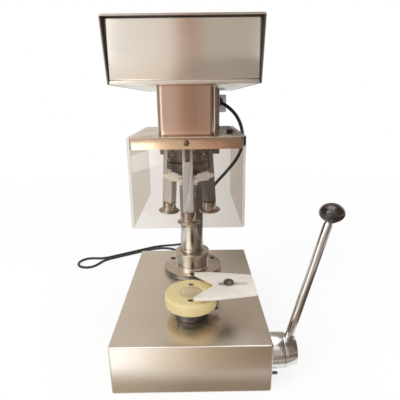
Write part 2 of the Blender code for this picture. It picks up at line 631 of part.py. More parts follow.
def lever():
    """Boss on the right wall, lever shaft with pinion and support, hub, rod, knob and the earth stud."""
    axis = (0, LEVER_Y, LEVER_HEIGHT)
    bore = LEVER_SHAFT_RADIUS + GAP
    wall = BASE_WIDTH / 2
    boss_end = wall + GAP + BOSS_LENGTH
    hub_start = boss_end + GAP
    hub_end = hub_start + LEVER_HUB_LENGTH
    shaft_end = hub_end - LEVER_HUB_CAP
    add("lever_boss", tube(BOSS_RADIUS, bore, wall + GAP, boss_end), "polished steel", axis, ALONG_X)

    support_end = -RACK_WIDTH / 2 - SHAFT_SUPPORT_SPACE
    support_start = support_end - SHAFT_SUPPORT_LENGTH
    add("lever_shaft", cylinder(LEVER_SHAFT_RADIUS, support_start, shaft_end), "polished steel", axis, ALONG_X)
    pinion = add("lever_pinion", prism(pinion_outline(), -RACK_WIDTH / 2, RACK_WIDTH / 2, "X"), "grey steel",
                 axis)
    cut(pinion, cylinder(bore, -RACK_WIDTH, RACK_WIDTH), axis, ALONG_X)
    support = add("shaft_support",
                  block(support_start, support_end, LEVER_Y - SHAFT_SUPPORT_WIDTH / 2,
                        LEVER_Y + SHAFT_SUPPORT_WIDTH / 2, BOTTOM_THICKNESS + GAP,
                        LEVER_HEIGHT + SHAFT_SUPPORT_CROWN), "grey steel")
    cut(support, cylinder(bore, support_start - GAP, support_end + GAP), axis, ALONG_X)

    hub = add("lever_hub", turned([(0, hub_start), (BOSS_RADIUS, hub_start), (LEVER_HUB_END_RADIUS, hub_end),
                                   (0, hub_end)]), "polished steel", axis, ALONG_X)
    cut(hub, cylinder(bore, hub_start - GAP, shaft_end + GAP), axis, ALONG_X)
    direction = Vector((tan(ROD_LEAN_OUT), tan(ROD_LEAN_BACK), 1)).normalized()
    lean = Vector((0, 0, 1)).rotation_difference(direction).to_euler()
    root = (hub_start + ROD_ROOT_INSET, LEVER_Y, LEVER_HEIGHT + bore + ROD_ROOT_RISE)
    cut(hub, cylinder(ROD_RADIUS + GAP, -GAP, ROD_LENGTH, SMALL_ROUND), root, lean)
    add("lever_rod", cylinder(ROD_RADIUS, 0, ROD_LENGTH, SMALL_ROUND), "polished steel", root, lean)
    outline = arc((0, 0), 1, -pi / 2, pi / 2, ROUND // 3)
    knob = add("lever_knob", turned([(KNOB_RADIUS * max(u, 0), ROD_LENGTH + KNOB_HALF_HEIGHT * v)
                                     for u, v in outline]), "black plastic", root, lean)
    cut(knob, cylinder(ROD_RADIUS + GAP, 0, ROD_LENGTH + GAP, SMALL_ROUND), root, lean)

    stud_axis = (0, LEVER_Y - STUD_AHEAD, STUD_HEIGHT)
    stud = add("earth_stud", cylinder(STUD_RADIUS, wall - 2 * BASE_WALL, wall + STUD_LENGTH, SMALL_ROUND),
               "dark steel", stud_axis, ALONG_X)
    nut_base = wall + GAP
    fuse(stud, prism(hexagon(STUD_NUT_RADIUS), nut_base, nut_base + STUD_NUT_HEIGHT), stud_axis, ALONG_X)


def locator_outline():
    """The locator plate's outline round the capping axis, with the V notch open to the left."""
    half = LOCATOR_SPREAD / 2
    end_half = LOCATOR_END_WIDTH / 2
    mouth = half - LOCATOR_TIP_BLUNT
    side = atan2(mouth, NOTCH_DEPTH)
    vertex = LOCATOR_TIP + NOTCH_DEPTH
    middle = vertex - NOTCH_FILLET / sin(side)
    turn = pi / 2 - side
    notch = arc((middle, 0), NOTCH_FILLET, -turn, turn, CORNER_STEPS)
    return [(LOCATOR_TIP, -mouth), (LOCATOR_TIP, -half), (LOCATOR_SHOULDER, -half), (LOCATOR_END, -end_half),
            (LOCATOR_END, end_half), (LOCATOR_SHOULDER, half), (LOCATOR_TIP, half), (LOCATOR_TIP, mouth),
            *reversed(notch)]


def locator():
    """Bracket under the bottle rest, V-notched plate on it, and the clamping bolt with its nut."""
    centre = (0, CAPPING_Y, 0)
    leg = REST_RADIUS + GAP
    leg_out = leg + BRACKET_THICKNESS
    foot_top = BRACKET_FOOT + BRACKET_THICKNESS
    shelf_top = LOCATOR_BASE - GAP
    shelf_base = shelf_top - BRACKET_THICKNESS
    half_width = LIFT_SHAFT_RADIUS + BRACKET_SIDE
    shelf_end = BOLT_REACH + BRACKET_PAST_BOLT
    side_view = [(-half_width, BRACKET_FOOT), (leg_out, BRACKET_FOOT), (leg_out, shelf_base),
                 (shelf_end, shelf_base), (shelf_end, shelf_top), (leg, shelf_top), (leg, foot_top),
                 (-half_width, foot_top)]
    bracket = add("locator_bracket", prism(side_view, -half_width, half_width, "Y"), "satin steel", centre)
    cut(bracket, cylinder(LIFT_SHAFT_RADIUS + GAP, BRACKET_FOOT - GAP, foot_top + GAP), centre)
    bolt_spot = (BOLT_REACH, CAPPING_Y, 0)
    cut(bracket, cylinder(BOLT_RADIUS + GAP, shelf_base - GAP, shelf_top + GAP, SMALL_ROUND), bolt_spot)

    plate_top = LOCATOR_BASE + LOCATOR_THICKNESS
    plate = add("locator_plate", prism(locator_outline(), LOCATOR_BASE, plate_top), "white plastic", centre)
    slot_half = BOLT_RADIUS + GAP
    slot = [*arc((SLOT_END - slot_half, 0), slot_half, -pi / 2, pi / 2, 2 * CORNER_STEPS),
            *arc((SLOT_START + slot_half, 0), slot_half, pi / 2, 1.5 * pi, 2 * CORNER_STEPS)]
    cut(plate, prism(slot, LOCATOR_BASE - GAP, plate_top + GAP), centre)

    head_base = plate_top + GAP
    nut_top = shelf_base - GAP
    bolt = add("locator_bolt", prism(hexagon(BOLT_HEAD_RADIUS), head_base, head_base + BOLT_HEAD_HEIGHT),
               "dark steel", bolt_spot)
    fuse(bolt, cylinder(BOLT_RADIUS, nut_top - BOLT_NUT_HEIGHT - GAP, head_base + GAP, SMALL_ROUND), bolt_spot)
    fuse(bolt, prism(hexagon(BOLT_HEAD_RADIUS), nut_top - BOLT_NUT_HEIGHT, nut_top), bolt_spot)


def head_frame():
    """Arm plate on the column clamp, belt cover with its front panel, neck cover and column housing."""
    under = ARM_PLATE_HEIGHT - GAP
    cover_half = COVER_WIDTH / 2
    inner_half = cover_half - COVER_WALL
    plate_half = inner_half - GAP
    cover_top = ARM_PLATE_HEIGHT + COVER_HEIGHT
    plate = add("arm_plate", block(-plate_half, plate_half, FRONT_Y, COVER_BACK - COVER_WALL - GAP,
                                   ARM_PLATE_HEIGHT, PLATE_TOP), "satin steel")
    cut(plate, cylinder(SPINDLE_RADIUS + NECK_WALL, ARM_PLATE_HEIGHT - GAP, PLATE_TOP + GAP), (0, CAPPING_Y, 0))
    cut(plate, cylinder(MOTOR_SHAFT_RADIUS + GAP, ARM_PLATE_HEIGHT - GAP, PLATE_TOP + GAP), (0, MOTOR_Y, 0))

    side_view = [(FRONT_Y, ARM_PLATE_HEIGHT), (COVER_BACK, ARM_PLATE_HEIGHT), (COVER_BACK, cover_top),
                 (FRONT_Y - COVER_LEAN, cover_top)]
    cover = add("top_cover", prism(side_view, -cover_half, cover_half, "X"), "satin steel")
    cut(cover, block(-inner_half, inner_half, FRONT_Y - 2 * COVER_LEAN, COVER_BACK - COVER_WALL,
                     ARM_PLATE_HEIGHT - COVER_WALL, cover_top - COVER_WALL))
    panel_front = FRONT_Y + PANEL_INSET
    panel_base = PLATE_TOP + GAP
    panel_top = cover_top - COVER_WALL - GAP
    panel_view = [(panel_front, panel_base), (panel_front + PANEL_THICKNESS, panel_base),
                  (panel_front - PANEL_LEAN + PANEL_THICKNESS, panel_top), (panel_front - PANEL_LEAN, panel_top)]
    add("front_panel", prism(panel_view, -plate_half, plate_half, "X"), "satin steel")

    neck_x = NECK_WIDTH / 2
    neck_y = NECK_DEPTH / 2
    neck = add("neck_cover", prism(rounded_rectangle(-neck_x, neck_x, -neck_y, neck_y, NECK_CORNER),
                                   TRAY_TOP + GAP, under), "satin steel", (0, CAPPING_Y, 0))
    wall = NECK_WALL
    cut(neck, prism(rounded_rectangle(wall - neck_x, neck_x - wall, wall - neck_y, neck_y - wall,
                                      NECK_CORNER - wall), TRAY_TOP - wall, ARM_PLATE_HEIGHT + wall),
        (0, CAPPING_Y, 0))

    housing_half = HOUSING_WIDTH / 2
    housing_base = ARM_PLATE_HEIGHT - HOUSING_DEPTH
    housing = add("rear_housing", prism(rounded_rectangle(-housing_half, housing_half, HOUSING_FRONT,
                                                          HOUSING_BACK, HOUSING_CORNER), housing_base, under),
                  "satin steel")
    wall = HOUSING_WALL
    cut(housing, prism(rounded_rectangle(wall - housing_half, housing_half - wall, HOUSING_FRONT + wall,
                                         HOUSING_BACK - wall, HOUSING_CORNER - wall), housing_base + wall,
                       ARM_PLATE_HEIGHT + wall))
    cut(housing, cylinder(POST_RADIUS + GAP, housing_base - wall, housing_base + 2 * wall), (0, POST_Y, 0))

    reach = POST_RADIUS + CLAMP_WALL
    clamp = add("column_clamp", block(-CLAMP_WIDTH / 2, CLAMP_WIDTH / 2, POST_Y - reach, POST_Y + reach,
                                      under - CLAMP_HEIGHT, under), "grey steel")
    cut(clamp, cylinder(POST_RADIUS + GAP, under - CLAMP_HEIGHT - GAP, under + 2 * GAP), (0, POST_Y, 0))


def tray_and_guard():
    """Folded tray under the neck, clear guard bent round it, and their two screws."""
    half = TRAY_WIDTH / 2
    front = CAPPING_Y - TRAY_AHEAD
    back = HOUSING_FRONT - GAP
    strip_base = TRAY_TOP - TRAY_STRIP
    wall = TRAY_WALL
    tray = add("tray", prism(rounded_rectangle(-half, half, front, back, GUARD_BEND - GUARD_THICKNESS),
                             strip_base, TRAY_TOP), "satin steel")
    cut(tray, block(wall - half, half - wall, front + wall, back - wall, strip_base - wall, TRAY_TOP - wall))
    cut(tray, cylinder(TRAY_HOLE_RADIUS, strip_base, TRAY_TOP + GAP), (0, CAPPING_Y, 0))

    inner = half + GAP
    outer = inner + GUARD_THICKNESS
    inner_front = front - GAP
    outer_front = inner_front - GUARD_THICKNESS
    inner_bend = GUARD_BEND - GUARD_THICKNESS
    bend_y = outer_front + GUARD_BEND
    outer_path = [(-outer, back), *arc((GUARD_BEND - outer, bend_y), GUARD_BEND, pi, 1.5 * pi, CORNER_STEPS),
                  *arc((outer - GUARD_BEND, bend_y), GUARD_BEND, 1.5 * pi, 2 * pi, CORNER_STEPS), (outer, back)]
    inner_path = [(inner, back), *arc((outer - GUARD_BEND, bend_y), inner_bend, 2 * pi, 1.5 * pi, CORNER_STEPS),
                  *arc((GUARD_BEND - outer, bend_y), inner_bend, 1.5 * pi, pi, CORNER_STEPS), (-inner, back)]
    guard = add("guard", prism(outer_path + inner_path, TRAY_TOP - GUARD_HEIGHT, TRAY_TOP), "clear plastic")

    screw_axis = (0, outer_front, TRAY_TOP - GUARD_SCREW_DROP)
    add("guard_screw", turned([(0, GAP - GUARD_SCREW_LENGTH), (GUARD_SCREW_RADIUS, GAP - GUARD_SCREW_LENGTH),
                               (GUARD_SCREW_RADIUS, GAP), (GUARD_SCREW_HEAD_RADIUS, GAP),
                               (GUARD_SCREW_HEAD_RADIUS, GUARD_SCREW_HEAD_HEIGHT / 2),
                               (GUARD_SCREW_RADIUS, GUARD_SCREW_HEAD_HEIGHT), (0, GUARD_SCREW_HEAD_HEIGHT)],
                              SMALL_ROUND), "dark steel", screw_axis, TOWARDS_FRONT)
    for piece in (guard, tray):
        cut(piece, cylinder(GUARD_SCREW_RADIUS + GAP, -GUARD_SCREW_LENGTH, GAP, SMALL_ROUND), screw_axis,
            TOWARDS_FRONT)

    spot = (TRAY_SCREW_SIDE, CAPPING_Y - TRAY_SCREW_AHEAD, TRAY_TOP)
    add("tray_screw", turned([(0, -TRAY_SCREW_LENGTH), (GUARD_SCREW_RADIUS, -TRAY_SCREW_LENGTH),
                              (GUARD_SCREW_RADIUS, GAP), (TRAY_SCREW_HEAD_RADIUS, GAP),
                              (TRAY_SCREW_HEAD_RADIUS, TRAY_SCREW_HEAD_HEIGHT), (0, TRAY_SCREW_HEAD_HEIGHT)],
                             SMALL_ROUND), "black plastic", spot)
    cut(tray, cylinder(GUARD_SCREW_RADIUS + GAP, -2 * wall, wall, SMALL_ROUND), spot)


def pulley_profile(bore, groove):
    """Section of a belt pulley between its two cheeks."""
    lip = groove + PULLEY_LIP
    low_cheek = PULLEY_BASE + PULLEY_CHEEK
    high_cheek = PULLEY_TOP - PULLEY_CHEEK
    return [(bore, PULLEY_BASE), (lip, PULLEY_BASE), (lip, low_cheek), (groove, low_cheek),
            (groove, high_cheek), (lip, high_cheek), (lip, PULLEY_TOP), (bore, PULLEY_TOP)]


def belt_outline(grow):
    """Loop round both pulleys, at a distance from their grooves."""
    lean = asin((SPINDLE_PULLEY_RADIUS - MOTOR_PULLEY_RADIUS) / (MOTOR_Y - CAPPING_Y))
    small = arc((0, MOTOR_Y), MOTOR_PULLEY_RADIUS + grow, lean, pi - lean, SMALL_ROUND)
    large = arc((0, CAPPING_Y), SPINDLE_PULLEY_RADIUS + grow, pi - lean, 2 * pi + lean, ROUND)
    return small + large


def drive():
    """Spindle in its housing and bearings, belt and pulleys, motor with its shaft and switch box."""
    capping = (0, CAPPING_Y, 0)
    motor_axis = (0, MOTOR_Y, 0)
    under = ARM_PLATE_HEIGHT - GAP
    foot = TRAY_TOP + GAP
    bore = BEARING_RADIUS + GAP
    lower = foot + BEARING_INSET
    upper = under - BEARING_INSET - BEARING_WIDTH
    shoulder = bore - SHOULDER_STEP
    low_shoulder = lower + BEARING_WIDTH + GAP
    high_shoulder = upper - GAP
    outer = bore + HOUSING_TUBE_WALL
    add("spindle_housing", turned([(bore, foot), (outer, foot), (outer, under), (bore, under),
                                   (bore, high_shoulder), (shoulder, high_shoulder), (shoulder, low_shoulder),
                                   (bore, low_shoulder)]), "grey steel", capping)
    for name, base_height in (("bearing_lower", lower), ("bearing_upper", upper)):
        add(name, tube(BEARING_RADIUS, SPINDLE_RADIUS + GAP, base_height, base_height + BEARING_WIDTH),
            "polished steel", capping)

    spindle_base = HUB_TOP + GAP
    spigot_base = spindle_base - SPINDLE_SPIGOT_LENGTH
    spindle_top = PULLEY_TOP + SPINDLE_PAST_PULLEY
    add("spindle", turned([(0, spigot_base), (SPINDLE_SPIGOT_RADIUS, spigot_base),
                           (SPINDLE_SPIGOT_RADIUS, spindle_base), (SPINDLE_RADIUS, spindle_base),
                           (SPINDLE_RADIUS, spindle_top), (0, spindle_top)]), "polished steel", capping)
    add("spindle_pulley", turned(pulley_profile(SPINDLE_RADIUS + GAP, SPINDLE_PULLEY_RADIUS)), "grey steel",
        capping)
    add("motor_pulley", turned(pulley_profile(MOTOR_SHAFT_RADIUS + GAP, MOTOR_PULLEY_RADIUS)), "grey steel",
        motor_axis)
    belt_base = PULLEY_BASE + PULLEY_CHEEK + GAP
    belt_top = PULLEY_TOP - PULLEY_CHEEK - GAP
    belt = add("drive_belt", prism(belt_outline(GAP + BELT_THICKNESS), belt_base, belt_top), "black rubber")
    cut(belt, prism(belt_outline(GAP), belt_base - GAP, belt_top + GAP))

    motor_base = ARM_PLATE_HEIGHT - MOTOR_LENGTH
    edge = MOTOR_END_EDGE
    motor = add("motor", turned([(0, motor_base), (MOTOR_RADIUS - edge, motor_base),
                                 (MOTOR_RADIUS, motor_base + edge), (MOTOR_RADIUS, under), (0, under)]),
                "grey paint", motor_axis)
    seat = under - MOTOR_SHAFT_SEAT
    cut(motor, cylinder(MOTOR_SHAFT_RADIUS + GAP, seat - GAP, ARM_PLATE_HEIGHT), motor_axis)
    add("motor_shaft", cylinder(MOTOR_SHAFT_RADIUS, seat, PULLEY_TOP), "polished steel", motor_axis)

    box_left = MOTOR_RADIUS + GAP
    box_right = box_left + SWITCH_BOX_WIDTH
    box_front = MOTOR_Y - SWITCH_BOX_DEPTH / 2
    box_top = ARM_PLATE_HEIGHT - SWITCH_BOX_DROP
    box = add("switch_box", block(box_left, box_right, box_front, box_front + SWITCH_BOX_DEPTH,
                                  box_top - SWITCH_BOX_HEIGHT, box_top), "grey plastic")
    rocker_axis = (box_right - ROCKER_SINK, MOTOR_Y, box_top - SWITCH_BOX_HEIGHT / 2)
    half = ROCKER_WIDTH / 2
    cut(box, block(-ROCKER_POCKET_DEPTH, 2 * ROCKER_SINK, -half - GAP, half + GAP, -ROCKER_POCKET_HALF,
                   ROCKER_POCKET_HALF), rocker_axis)
    tall = ROCKER_HALF_HEIGHT
    side_view = [(-ROCKER_BACK, -tall), (ROCKER_FRONT, -tall), (ROCKER_WAIST, 0), (ROCKER_FRONT, tall),
                 (-ROCKER_BACK, tall)]
    add("rocker", prism(side_view, -half, half, "Y"), "black plastic", rocker_axis, (0, -ROCKER_TILT, 0))


def cone_profile():
    """Section of the cone whose slope moves the followers by the arms' swing over its travel."""
    hub_bore = SPINDLE_RADIUS + GAP
    follower_x = ARM_DEPTH / 2 - UPPER_ARM_DEPTH / 2
    contact_z = PIVOT_Z + FOLLOWER_HEIGHT
    follower_r = PIVOT_CIRCLE + follower_x * cos(ARM_REST_TILT) - FOLLOWER_HEIGHT * sin(ARM_REST_TILT)
    spread = FOLLOWER_HEIGHT * (sin(ARM_SWING - ARM_REST_TILT) + sin(ARM_REST_TILT))
    slope = spread / CONE_TRAVEL
    contact_r = follower_r - (FOLLOWER_RADIUS + CONE_SPACE) * sqrt(1 + slope * slope)
    top = CONE_PAST_CONTACT
    bottom = -CONE_TRAVEL - CONE_PAST_CONTACT / 2
    return [(hub_bore, contact_z + bottom), (contact_r - slope * bottom, contact_z + bottom),
            (contact_r - slope * top, contact_z + top), (hub_bore, contact_z + top)]


def capping_head():
    """Hub with forked ears, cone and press rod, and three arms with their rollers."""
    capping = (0, CAPPING_Y, 0)
    hub_base = PIVOT_Z - HUB_BELOW
    ear_base = PIVOT_Z - EAR_HEIGHT / 2
    ear_top = PIVOT_Z + EAR_HEIGHT / 2
    boss = SPINDLE_RADIUS + HUB_BOSS_WALL
    ear_inner = ARM_WIDTH / 2 + EAR_SPACE
    ear_outer = ear_inner + EAR_THICKNESS
    hub = add("head_hub", turned([(0, hub_base), (SPINDLE_RADIUS, hub_base), (SPINDLE_RADIUS, ear_base),
                                  (boss, ear_base), (boss, ear_top), (SPINDLE_RADIUS, ear_top),
                                  (SPINDLE_RADIUS, HUB_TOP), (0, HUB_TOP)]), "grey steel", capping)
    for angle in ARM_ANGLES:
        turn = (0, 0, radians(angle))
        for side in (-1, 1):
            near, far = sorted((side * ear_inner, side * ear_outer))
            fuse(hub, block(EAR_ROOT, EAR_REACH, near, far, ear_base, ear_top), capping, turn)
        place = Vector((*around(PIVOT_CIRCLE, angle, CAPPING_Y), PIVOT_Z))
        lay = (Euler(turn).to_matrix() @ Euler(TOWARDS_FRONT).to_matrix()).to_euler()
        fuse(hub, cylinder(PIVOT_PIN_RADIUS, -ear_outer - GAP, ear_outer + GAP, SMALL_ROUND), place, lay)

    profile = cone_profile()
    pin_z = (profile[0][1] + profile[2][1]) / 2
    rod_top = pin_z + CROSS_PIN_RADIUS + PRESS_ROD_PAST_PIN
    bore_top = rod_top + CONE_TRAVEL + GAP
    cut(hub, cylinder(PRESS_ROD_RADIUS + GAP, hub_base - GAP, bore_top, SMALL_ROUND), capping)
    socket = HUB_TOP - SPINDLE_SPIGOT_LENGTH
    cut(hub, cylinder(SPINDLE_SPIGOT_RADIUS + GAP, socket, HUB_TOP + GAP, SMALL_ROUND), capping)
    slot = CROSS_PIN_RADIUS + GAP
    cut(hub, block(-boss, boss, -slot, slot, pin_z - slot, pin_z + CONE_TRAVEL + slot), capping)

    pin_half = SPINDLE_RADIUS + CROSS_PIN_PAST_TUBE
    pin_axis = (0, CAPPING_Y, pin_z)
    cone = add("press_cone", turned(profile), "polished steel", capping)
    cut(cone, cylinder(CROSS_PIN_RADIUS + GAP, -pin_half - GAP, pin_half + GAP, SMALL_ROUND), pin_axis, ALONG_X)
    pad_top = PIVOT_Z - PRESS_ROD_BELOW
    pad_base = pad_top - PAD_THICKNESS
    rod = add("press_rod", turned([(0, pad_base), (PAD_RADIUS, pad_base), (PAD_RADIUS, pad_top),
                                   (PRESS_ROD_RADIUS, pad_top), (PRESS_ROD_RADIUS, rod_top), (0, rod_top)],
                                  SMALL_ROUND), "polished steel", capping)
    fuse(rod, cylinder(CROSS_PIN_RADIUS, -pin_half, pin_half, SMALL_ROUND), pin_axis, ALONG_X)

    for number, angle in enumerate(ARM_ANGLES, start=1):
        roller_arm(number, angle)


def roller_arm(number, angle):
    """One arm, drawn with its pivot at the origin, X outwards and Z up, with its follower and roller."""
    place = (*around(PIVOT_CIRCLE, angle, CAPPING_Y), PIVOT_Z)
    lay = (0, -ARM_REST_TILT, radians(angle))
    deep = ARM_DEPTH / 2
    wide = ARM_WIDTH / 2
    upper_back = deep - UPPER_ARM_DEPTH
    side_view = [(-deep, -ARM_BELOW), (deep, -ARM_BELOW), (deep, ARM_ABOVE), (upper_back, ARM_ABOVE),
                 (upper_back, ARM_STEP), (-deep, ARM_STEP)]
    arm = add(f"roller_arm_{number}", prism(side_view, -wide, wide, "Y"), "grey steel", place, lay)
    own = Matrix.Translation(place) @ Euler(lay).to_matrix().to_4x4()

    def inside(x, z):
        return own @ Vector((x, 0, z))

    across = (Euler(lay).to_matrix() @ Euler(TOWARDS_FRONT).to_matrix()).to_euler()
    cut(arm, block(-ARM_DEPTH, ARM_DEPTH, -FORK_GAP / 2, FORK_GAP / 2, ARM_ABOVE - FORK_DEPTH,
                   ARM_ABOVE + FORK_GAP), place, lay)
    cut(arm, cylinder(PIVOT_PIN_RADIUS + GAP, -ARM_WIDTH, ARM_WIDTH, SMALL_ROUND), place, across)
    follower = inside(deep - UPPER_ARM_DEPTH / 2, FOLLOWER_HEIGHT)
    wheel = FORK_GAP / 2 - GAP
    pin = wide - GAP
    fuse(arm, turned([(0, -pin), (FOLLOWER_PIN_RADIUS, -pin), (FOLLOWER_PIN_RADIUS, -wheel),
                      (FOLLOWER_RADIUS, -wheel), (FOLLOWER_RADIUS, wheel), (FOLLOWER_PIN_RADIUS, wheel),
                      (FOLLOWER_PIN_RADIUS, pin), (0, pin)], SMALL_ROUND), follower, across)
    axle_end = -ARM_BELOW - AXLE_LENGTH
    fuse(arm, cylinder(AXLE_RADIUS, axle_end, GAP - ARM_BELOW, SMALL_ROUND), place, lay)

    top = -GAP
    disc_top = top - ROLLER_HUB_HEIGHT
    disc_base = disc_top - ROLLER_DISC_THICKNESS
    bore = AXLE_RADIUS + GAP
    bore_end = -AXLE_LENGTH - GAP
    sharp = ROLLER_DISC_RADIUS - ROLLER_EDGE
    add(f"seaming_roller_{number}",
        turned([(0, disc_base), (sharp, disc_base), (ROLLER_DISC_RADIUS, disc_base + ROLLER_EDGE),
                (ROLLER_DISC_RADIUS, disc_top - ROLLER_EDGE), (sharp, disc_top), (ROLLER_HUB_RADIUS, disc_top),
                (ROLLER_HUB_RADIUS, top), (bore, top), (bore, bore_end), (0, bore_end)]),
        "polished steel", inside(0, -ARM_BELOW), lay)


def smooth_route(points, step):
    """Points at even steps along a smooth curve through the given points."""
    knots = [Vector(point) for point in points]
    knots = [2 * knots[0] - knots[1], *knots, 2 * knots[-1] - knots[-2]]
    fine = []
    for before, start, end, after in zip(knots, knots[1:], knots[2:], knots[3:]):
        for part in range(ROUTE_STEPS):
            t = part / ROUTE_STEPS
            square = 2 * before - 5 * start + 4 * end - after
            cube = 3 * start - before - 3 * end + after
            fine.append(0.5 * (2 * start + (end - before) * t + square * t ** 2 + cube * t ** 3))
    fine.append(knots[-2])
    length = sum((b - a).length for a, b in zip(fine, fine[1:]))
    count = round(length / step)
    even = [fine[0]]
    walked = 0.0
    for a, b in zip(fine, fine[1:]):
        span = (b - a).length
        while len(even) < count and walked + span >= len(even) * length / count:
            even.append(a.lerp(b, (len(even) * length / count - walked) / span))
        walked += span
    even.append(fine[-1])
    return even, length


def coil_points():
    """Two layers of turns that spiral in and out again, with straight ends."""
    count = round(COIL_TURNS * LOOP_POINTS)
    middle = COIL_TURNS / 2
    path = []
    for step in range(count + 1):
        turns = step / LOOP_POINTS
        radius = COIL_INNER_RADIUS + COIL_PITCH * abs(turns - middle)
        climb = min(max((turns - middle) / COIL_CLIMB_TURNS + 0.5, 0), 1)
        angle = COIL_START_ANGLE - 2 * pi * turns
        path.append(Vector((COIL_CENTRE[0] + radius * cos(angle), COIL_CENTRE[1] + radius * sin(angle),
                            COIL_HEIGHT + COIL_PITCH * climb)))
    start_way = Vector((sin(COIL_START_ANGLE), -cos(COIL_START_ANGLE), 0))
    end_angle = COIL_START_ANGLE - 2 * pi * COIL_TURNS
    end_way = Vector((sin(end_angle), -cos(end_angle), 0))
    return [path[0] - start_way * 2 * CORD_RADIUS, *path, path[-1] + end_way * COIL_TAIL], end_way


def least_self_gap(path, apart):
    """Least distance between a cord's own surfaces, for stretches over a given length apart."""
    along = [0.0]
    for a, b in zip(path, path[1:]):
        along.append(along[-1] + (b - a).length)
    nearest = min((path[j] - path[i]).length for i in range(len(path)) for j in range(i)
                  if along[i] - along[j] > apart)
    return nearest - 2 * CORD_RADIUS


def cord_tube(name, points, resolution):
    """A cord of the lead's thickness along a path."""
    curve = bpy.data.curves.new(name, "CURVE")
    curve.dimensions = "3D"
    curve.bevel_depth = CORD_RADIUS
    curve.bevel_resolution = resolution
    curve.use_fill_caps = True
    spline = curve.splines.new("POLY")
    spline.points.add(len(points) - 1)
    for knot, point in zip(spline.points, points):
        knot.co = (*point, 1)
    curve.materials.append(finish_material(f"{name} finish", "black rubber"))
    piece = bpy.data.objects.new(name, curve)
    bpy.context.scene.collection.objects.link(piece)


def mains_lead():
    """Strain relief on the switch box, the free lead, its coiled rest with a tie, and the plug."""
    gland_front = MOTOR_Y - SWITCH_BOX_DEPTH / 2 - GAP
    gland_axis = (MOTOR_RADIUS + GAP + GLAND_SIDE, gland_front,
                  ARM_PLATE_HEIGHT - SWITCH_BOX_DROP - GLAND_BELOW_TOP)
    add("cable_gland", turned([(0, 0), (GLAND_ROOT_RADIUS, 0), (GLAND_TIP_RADIUS, GLAND_LENGTH),
                               (0, GLAND_LENGTH)], SMALL_ROUND), "black rubber", gland_axis, TOWARDS_FRONT)

    lead, lead_length = smooth_route(LEAD_ROUTE, LEAD_STEP)
    cord_tube("cord_lead", lead, 2)
    coil, way = coil_points()
    cord_tube("cord_coil", coil, 1)
    coil_length = sum((b - a).length for a, b in zip(coil, coil[1:]))
    print(f"cord length {lead_length + coil_length:.3f} m, of it lead {lead_length:.3f} m")
    print(f"coil least gap to itself {1000 * least_self_gap(coil, 6 * COIL_PITCH):.2f} mm")

    outer = COIL_INNER_RADIUS + COIL_PITCH * COIL_TURNS / 2 + CORD_RADIUS + GAP
    inner = COIL_INNER_RADIUS - CORD_RADIUS - GAP
    low = COIL_HEIGHT - CORD_RADIUS - GAP
    high = COIL_HEIGHT + COIL_PITCH + CORD_RADIUS + GAP
    band = TIE_THICKNESS
    tie = add("coil_tie", block(inner - band, outer + band, -TIE_WIDTH / 2, TIE_WIDTH / 2, low - band,
                                high + band), "black plastic", (*COIL_CENTRE, 0))
    cut(tie, block(inner, outer, -TIE_WIDTH, TIE_WIDTH, low, high), (*COIL_CENTRE, 0))

    plug_start = coil[-1] + way * GAP
    half_height = plug_start.z - GAP
    neck = PLUG_NECK_WIDTH / 2
    half = PLUG_WIDTH / 2
    outline = [(0, -neck), (PLUG_NECK_LENGTH, -half), (PLUG_LENGTH, -half), (PLUG_LENGTH, half),
               (PLUG_NECK_LENGTH, half), (0, neck)]
    turn = (0, 0, atan2(way.y, way.x))
    plug = add("plug", prism(outline, -half_height, half_height), "black plastic", plug_start, turn)
    for side in (-1, 1):
        shift = Vector((-way.y, way.x, 0)) * side * PLUG_PIN_SPACING / 2
        lay = (Euler(turn).to_matrix() @ Euler(ALONG_X).to_matrix()).to_euler()
        fuse(plug, cylinder(PLUG_PIN_RADIUS, PLUG_LENGTH - GAP, PLUG_LENGTH + PLUG_PIN_LENGTH, SMALL_ROUND),
             plug_start + shift, lay)


clear_scene()
base()
lift()
lever()
locator()
head_frame()
tray_and_guard()
drive()
capping_head()
mains_lead()
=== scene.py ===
"""Looks of a table-top capping machine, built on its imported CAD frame."""

from math import atan2, cos, hypot, pi, radians, sin, tan

import bmesh
import bpy
from mathutils import Matrix, Vector


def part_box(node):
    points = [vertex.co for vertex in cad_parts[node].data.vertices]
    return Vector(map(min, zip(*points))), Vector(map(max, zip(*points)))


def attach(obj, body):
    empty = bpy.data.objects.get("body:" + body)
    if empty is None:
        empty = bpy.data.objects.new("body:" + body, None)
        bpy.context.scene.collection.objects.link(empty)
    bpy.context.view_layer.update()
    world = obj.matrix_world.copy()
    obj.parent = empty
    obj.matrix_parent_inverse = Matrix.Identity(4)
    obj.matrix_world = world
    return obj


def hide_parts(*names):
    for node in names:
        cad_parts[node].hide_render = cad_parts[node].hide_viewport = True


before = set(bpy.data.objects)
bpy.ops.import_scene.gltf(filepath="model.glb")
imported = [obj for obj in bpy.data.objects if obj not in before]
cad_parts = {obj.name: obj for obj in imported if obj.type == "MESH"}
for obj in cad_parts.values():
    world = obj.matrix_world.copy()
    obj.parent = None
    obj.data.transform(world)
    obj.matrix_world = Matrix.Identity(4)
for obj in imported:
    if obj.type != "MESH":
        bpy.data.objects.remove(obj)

# Studio: a pale floor that runs out into a white surround, soft lamps from the left and above, and tinted
# boards out of view for the steel to mirror. The camera stands where the photograph was taken.
scene = bpy.context.scene
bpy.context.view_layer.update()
scene.view_settings.view_transform = "Standard"
CAMERA_PLACE = (0.0127, -0.5496, 0.3862)
CAMERA_YAW = radians(-0.30)
CAMERA_DOWN = radians(15.92)
CAMERA_ROLL = radians(-0.73)
CAMERA_LENS = 31.8
CAMERA_SENSOR = 36
CAMERA_NEAREST = 0.01
WHITE = (1, 1, 1, 1)
PAPER = (0.96, 0.96, 0.96, 1)
FLOOR_SIZE = 12.0
FLOOR_BELOW = 0.0002
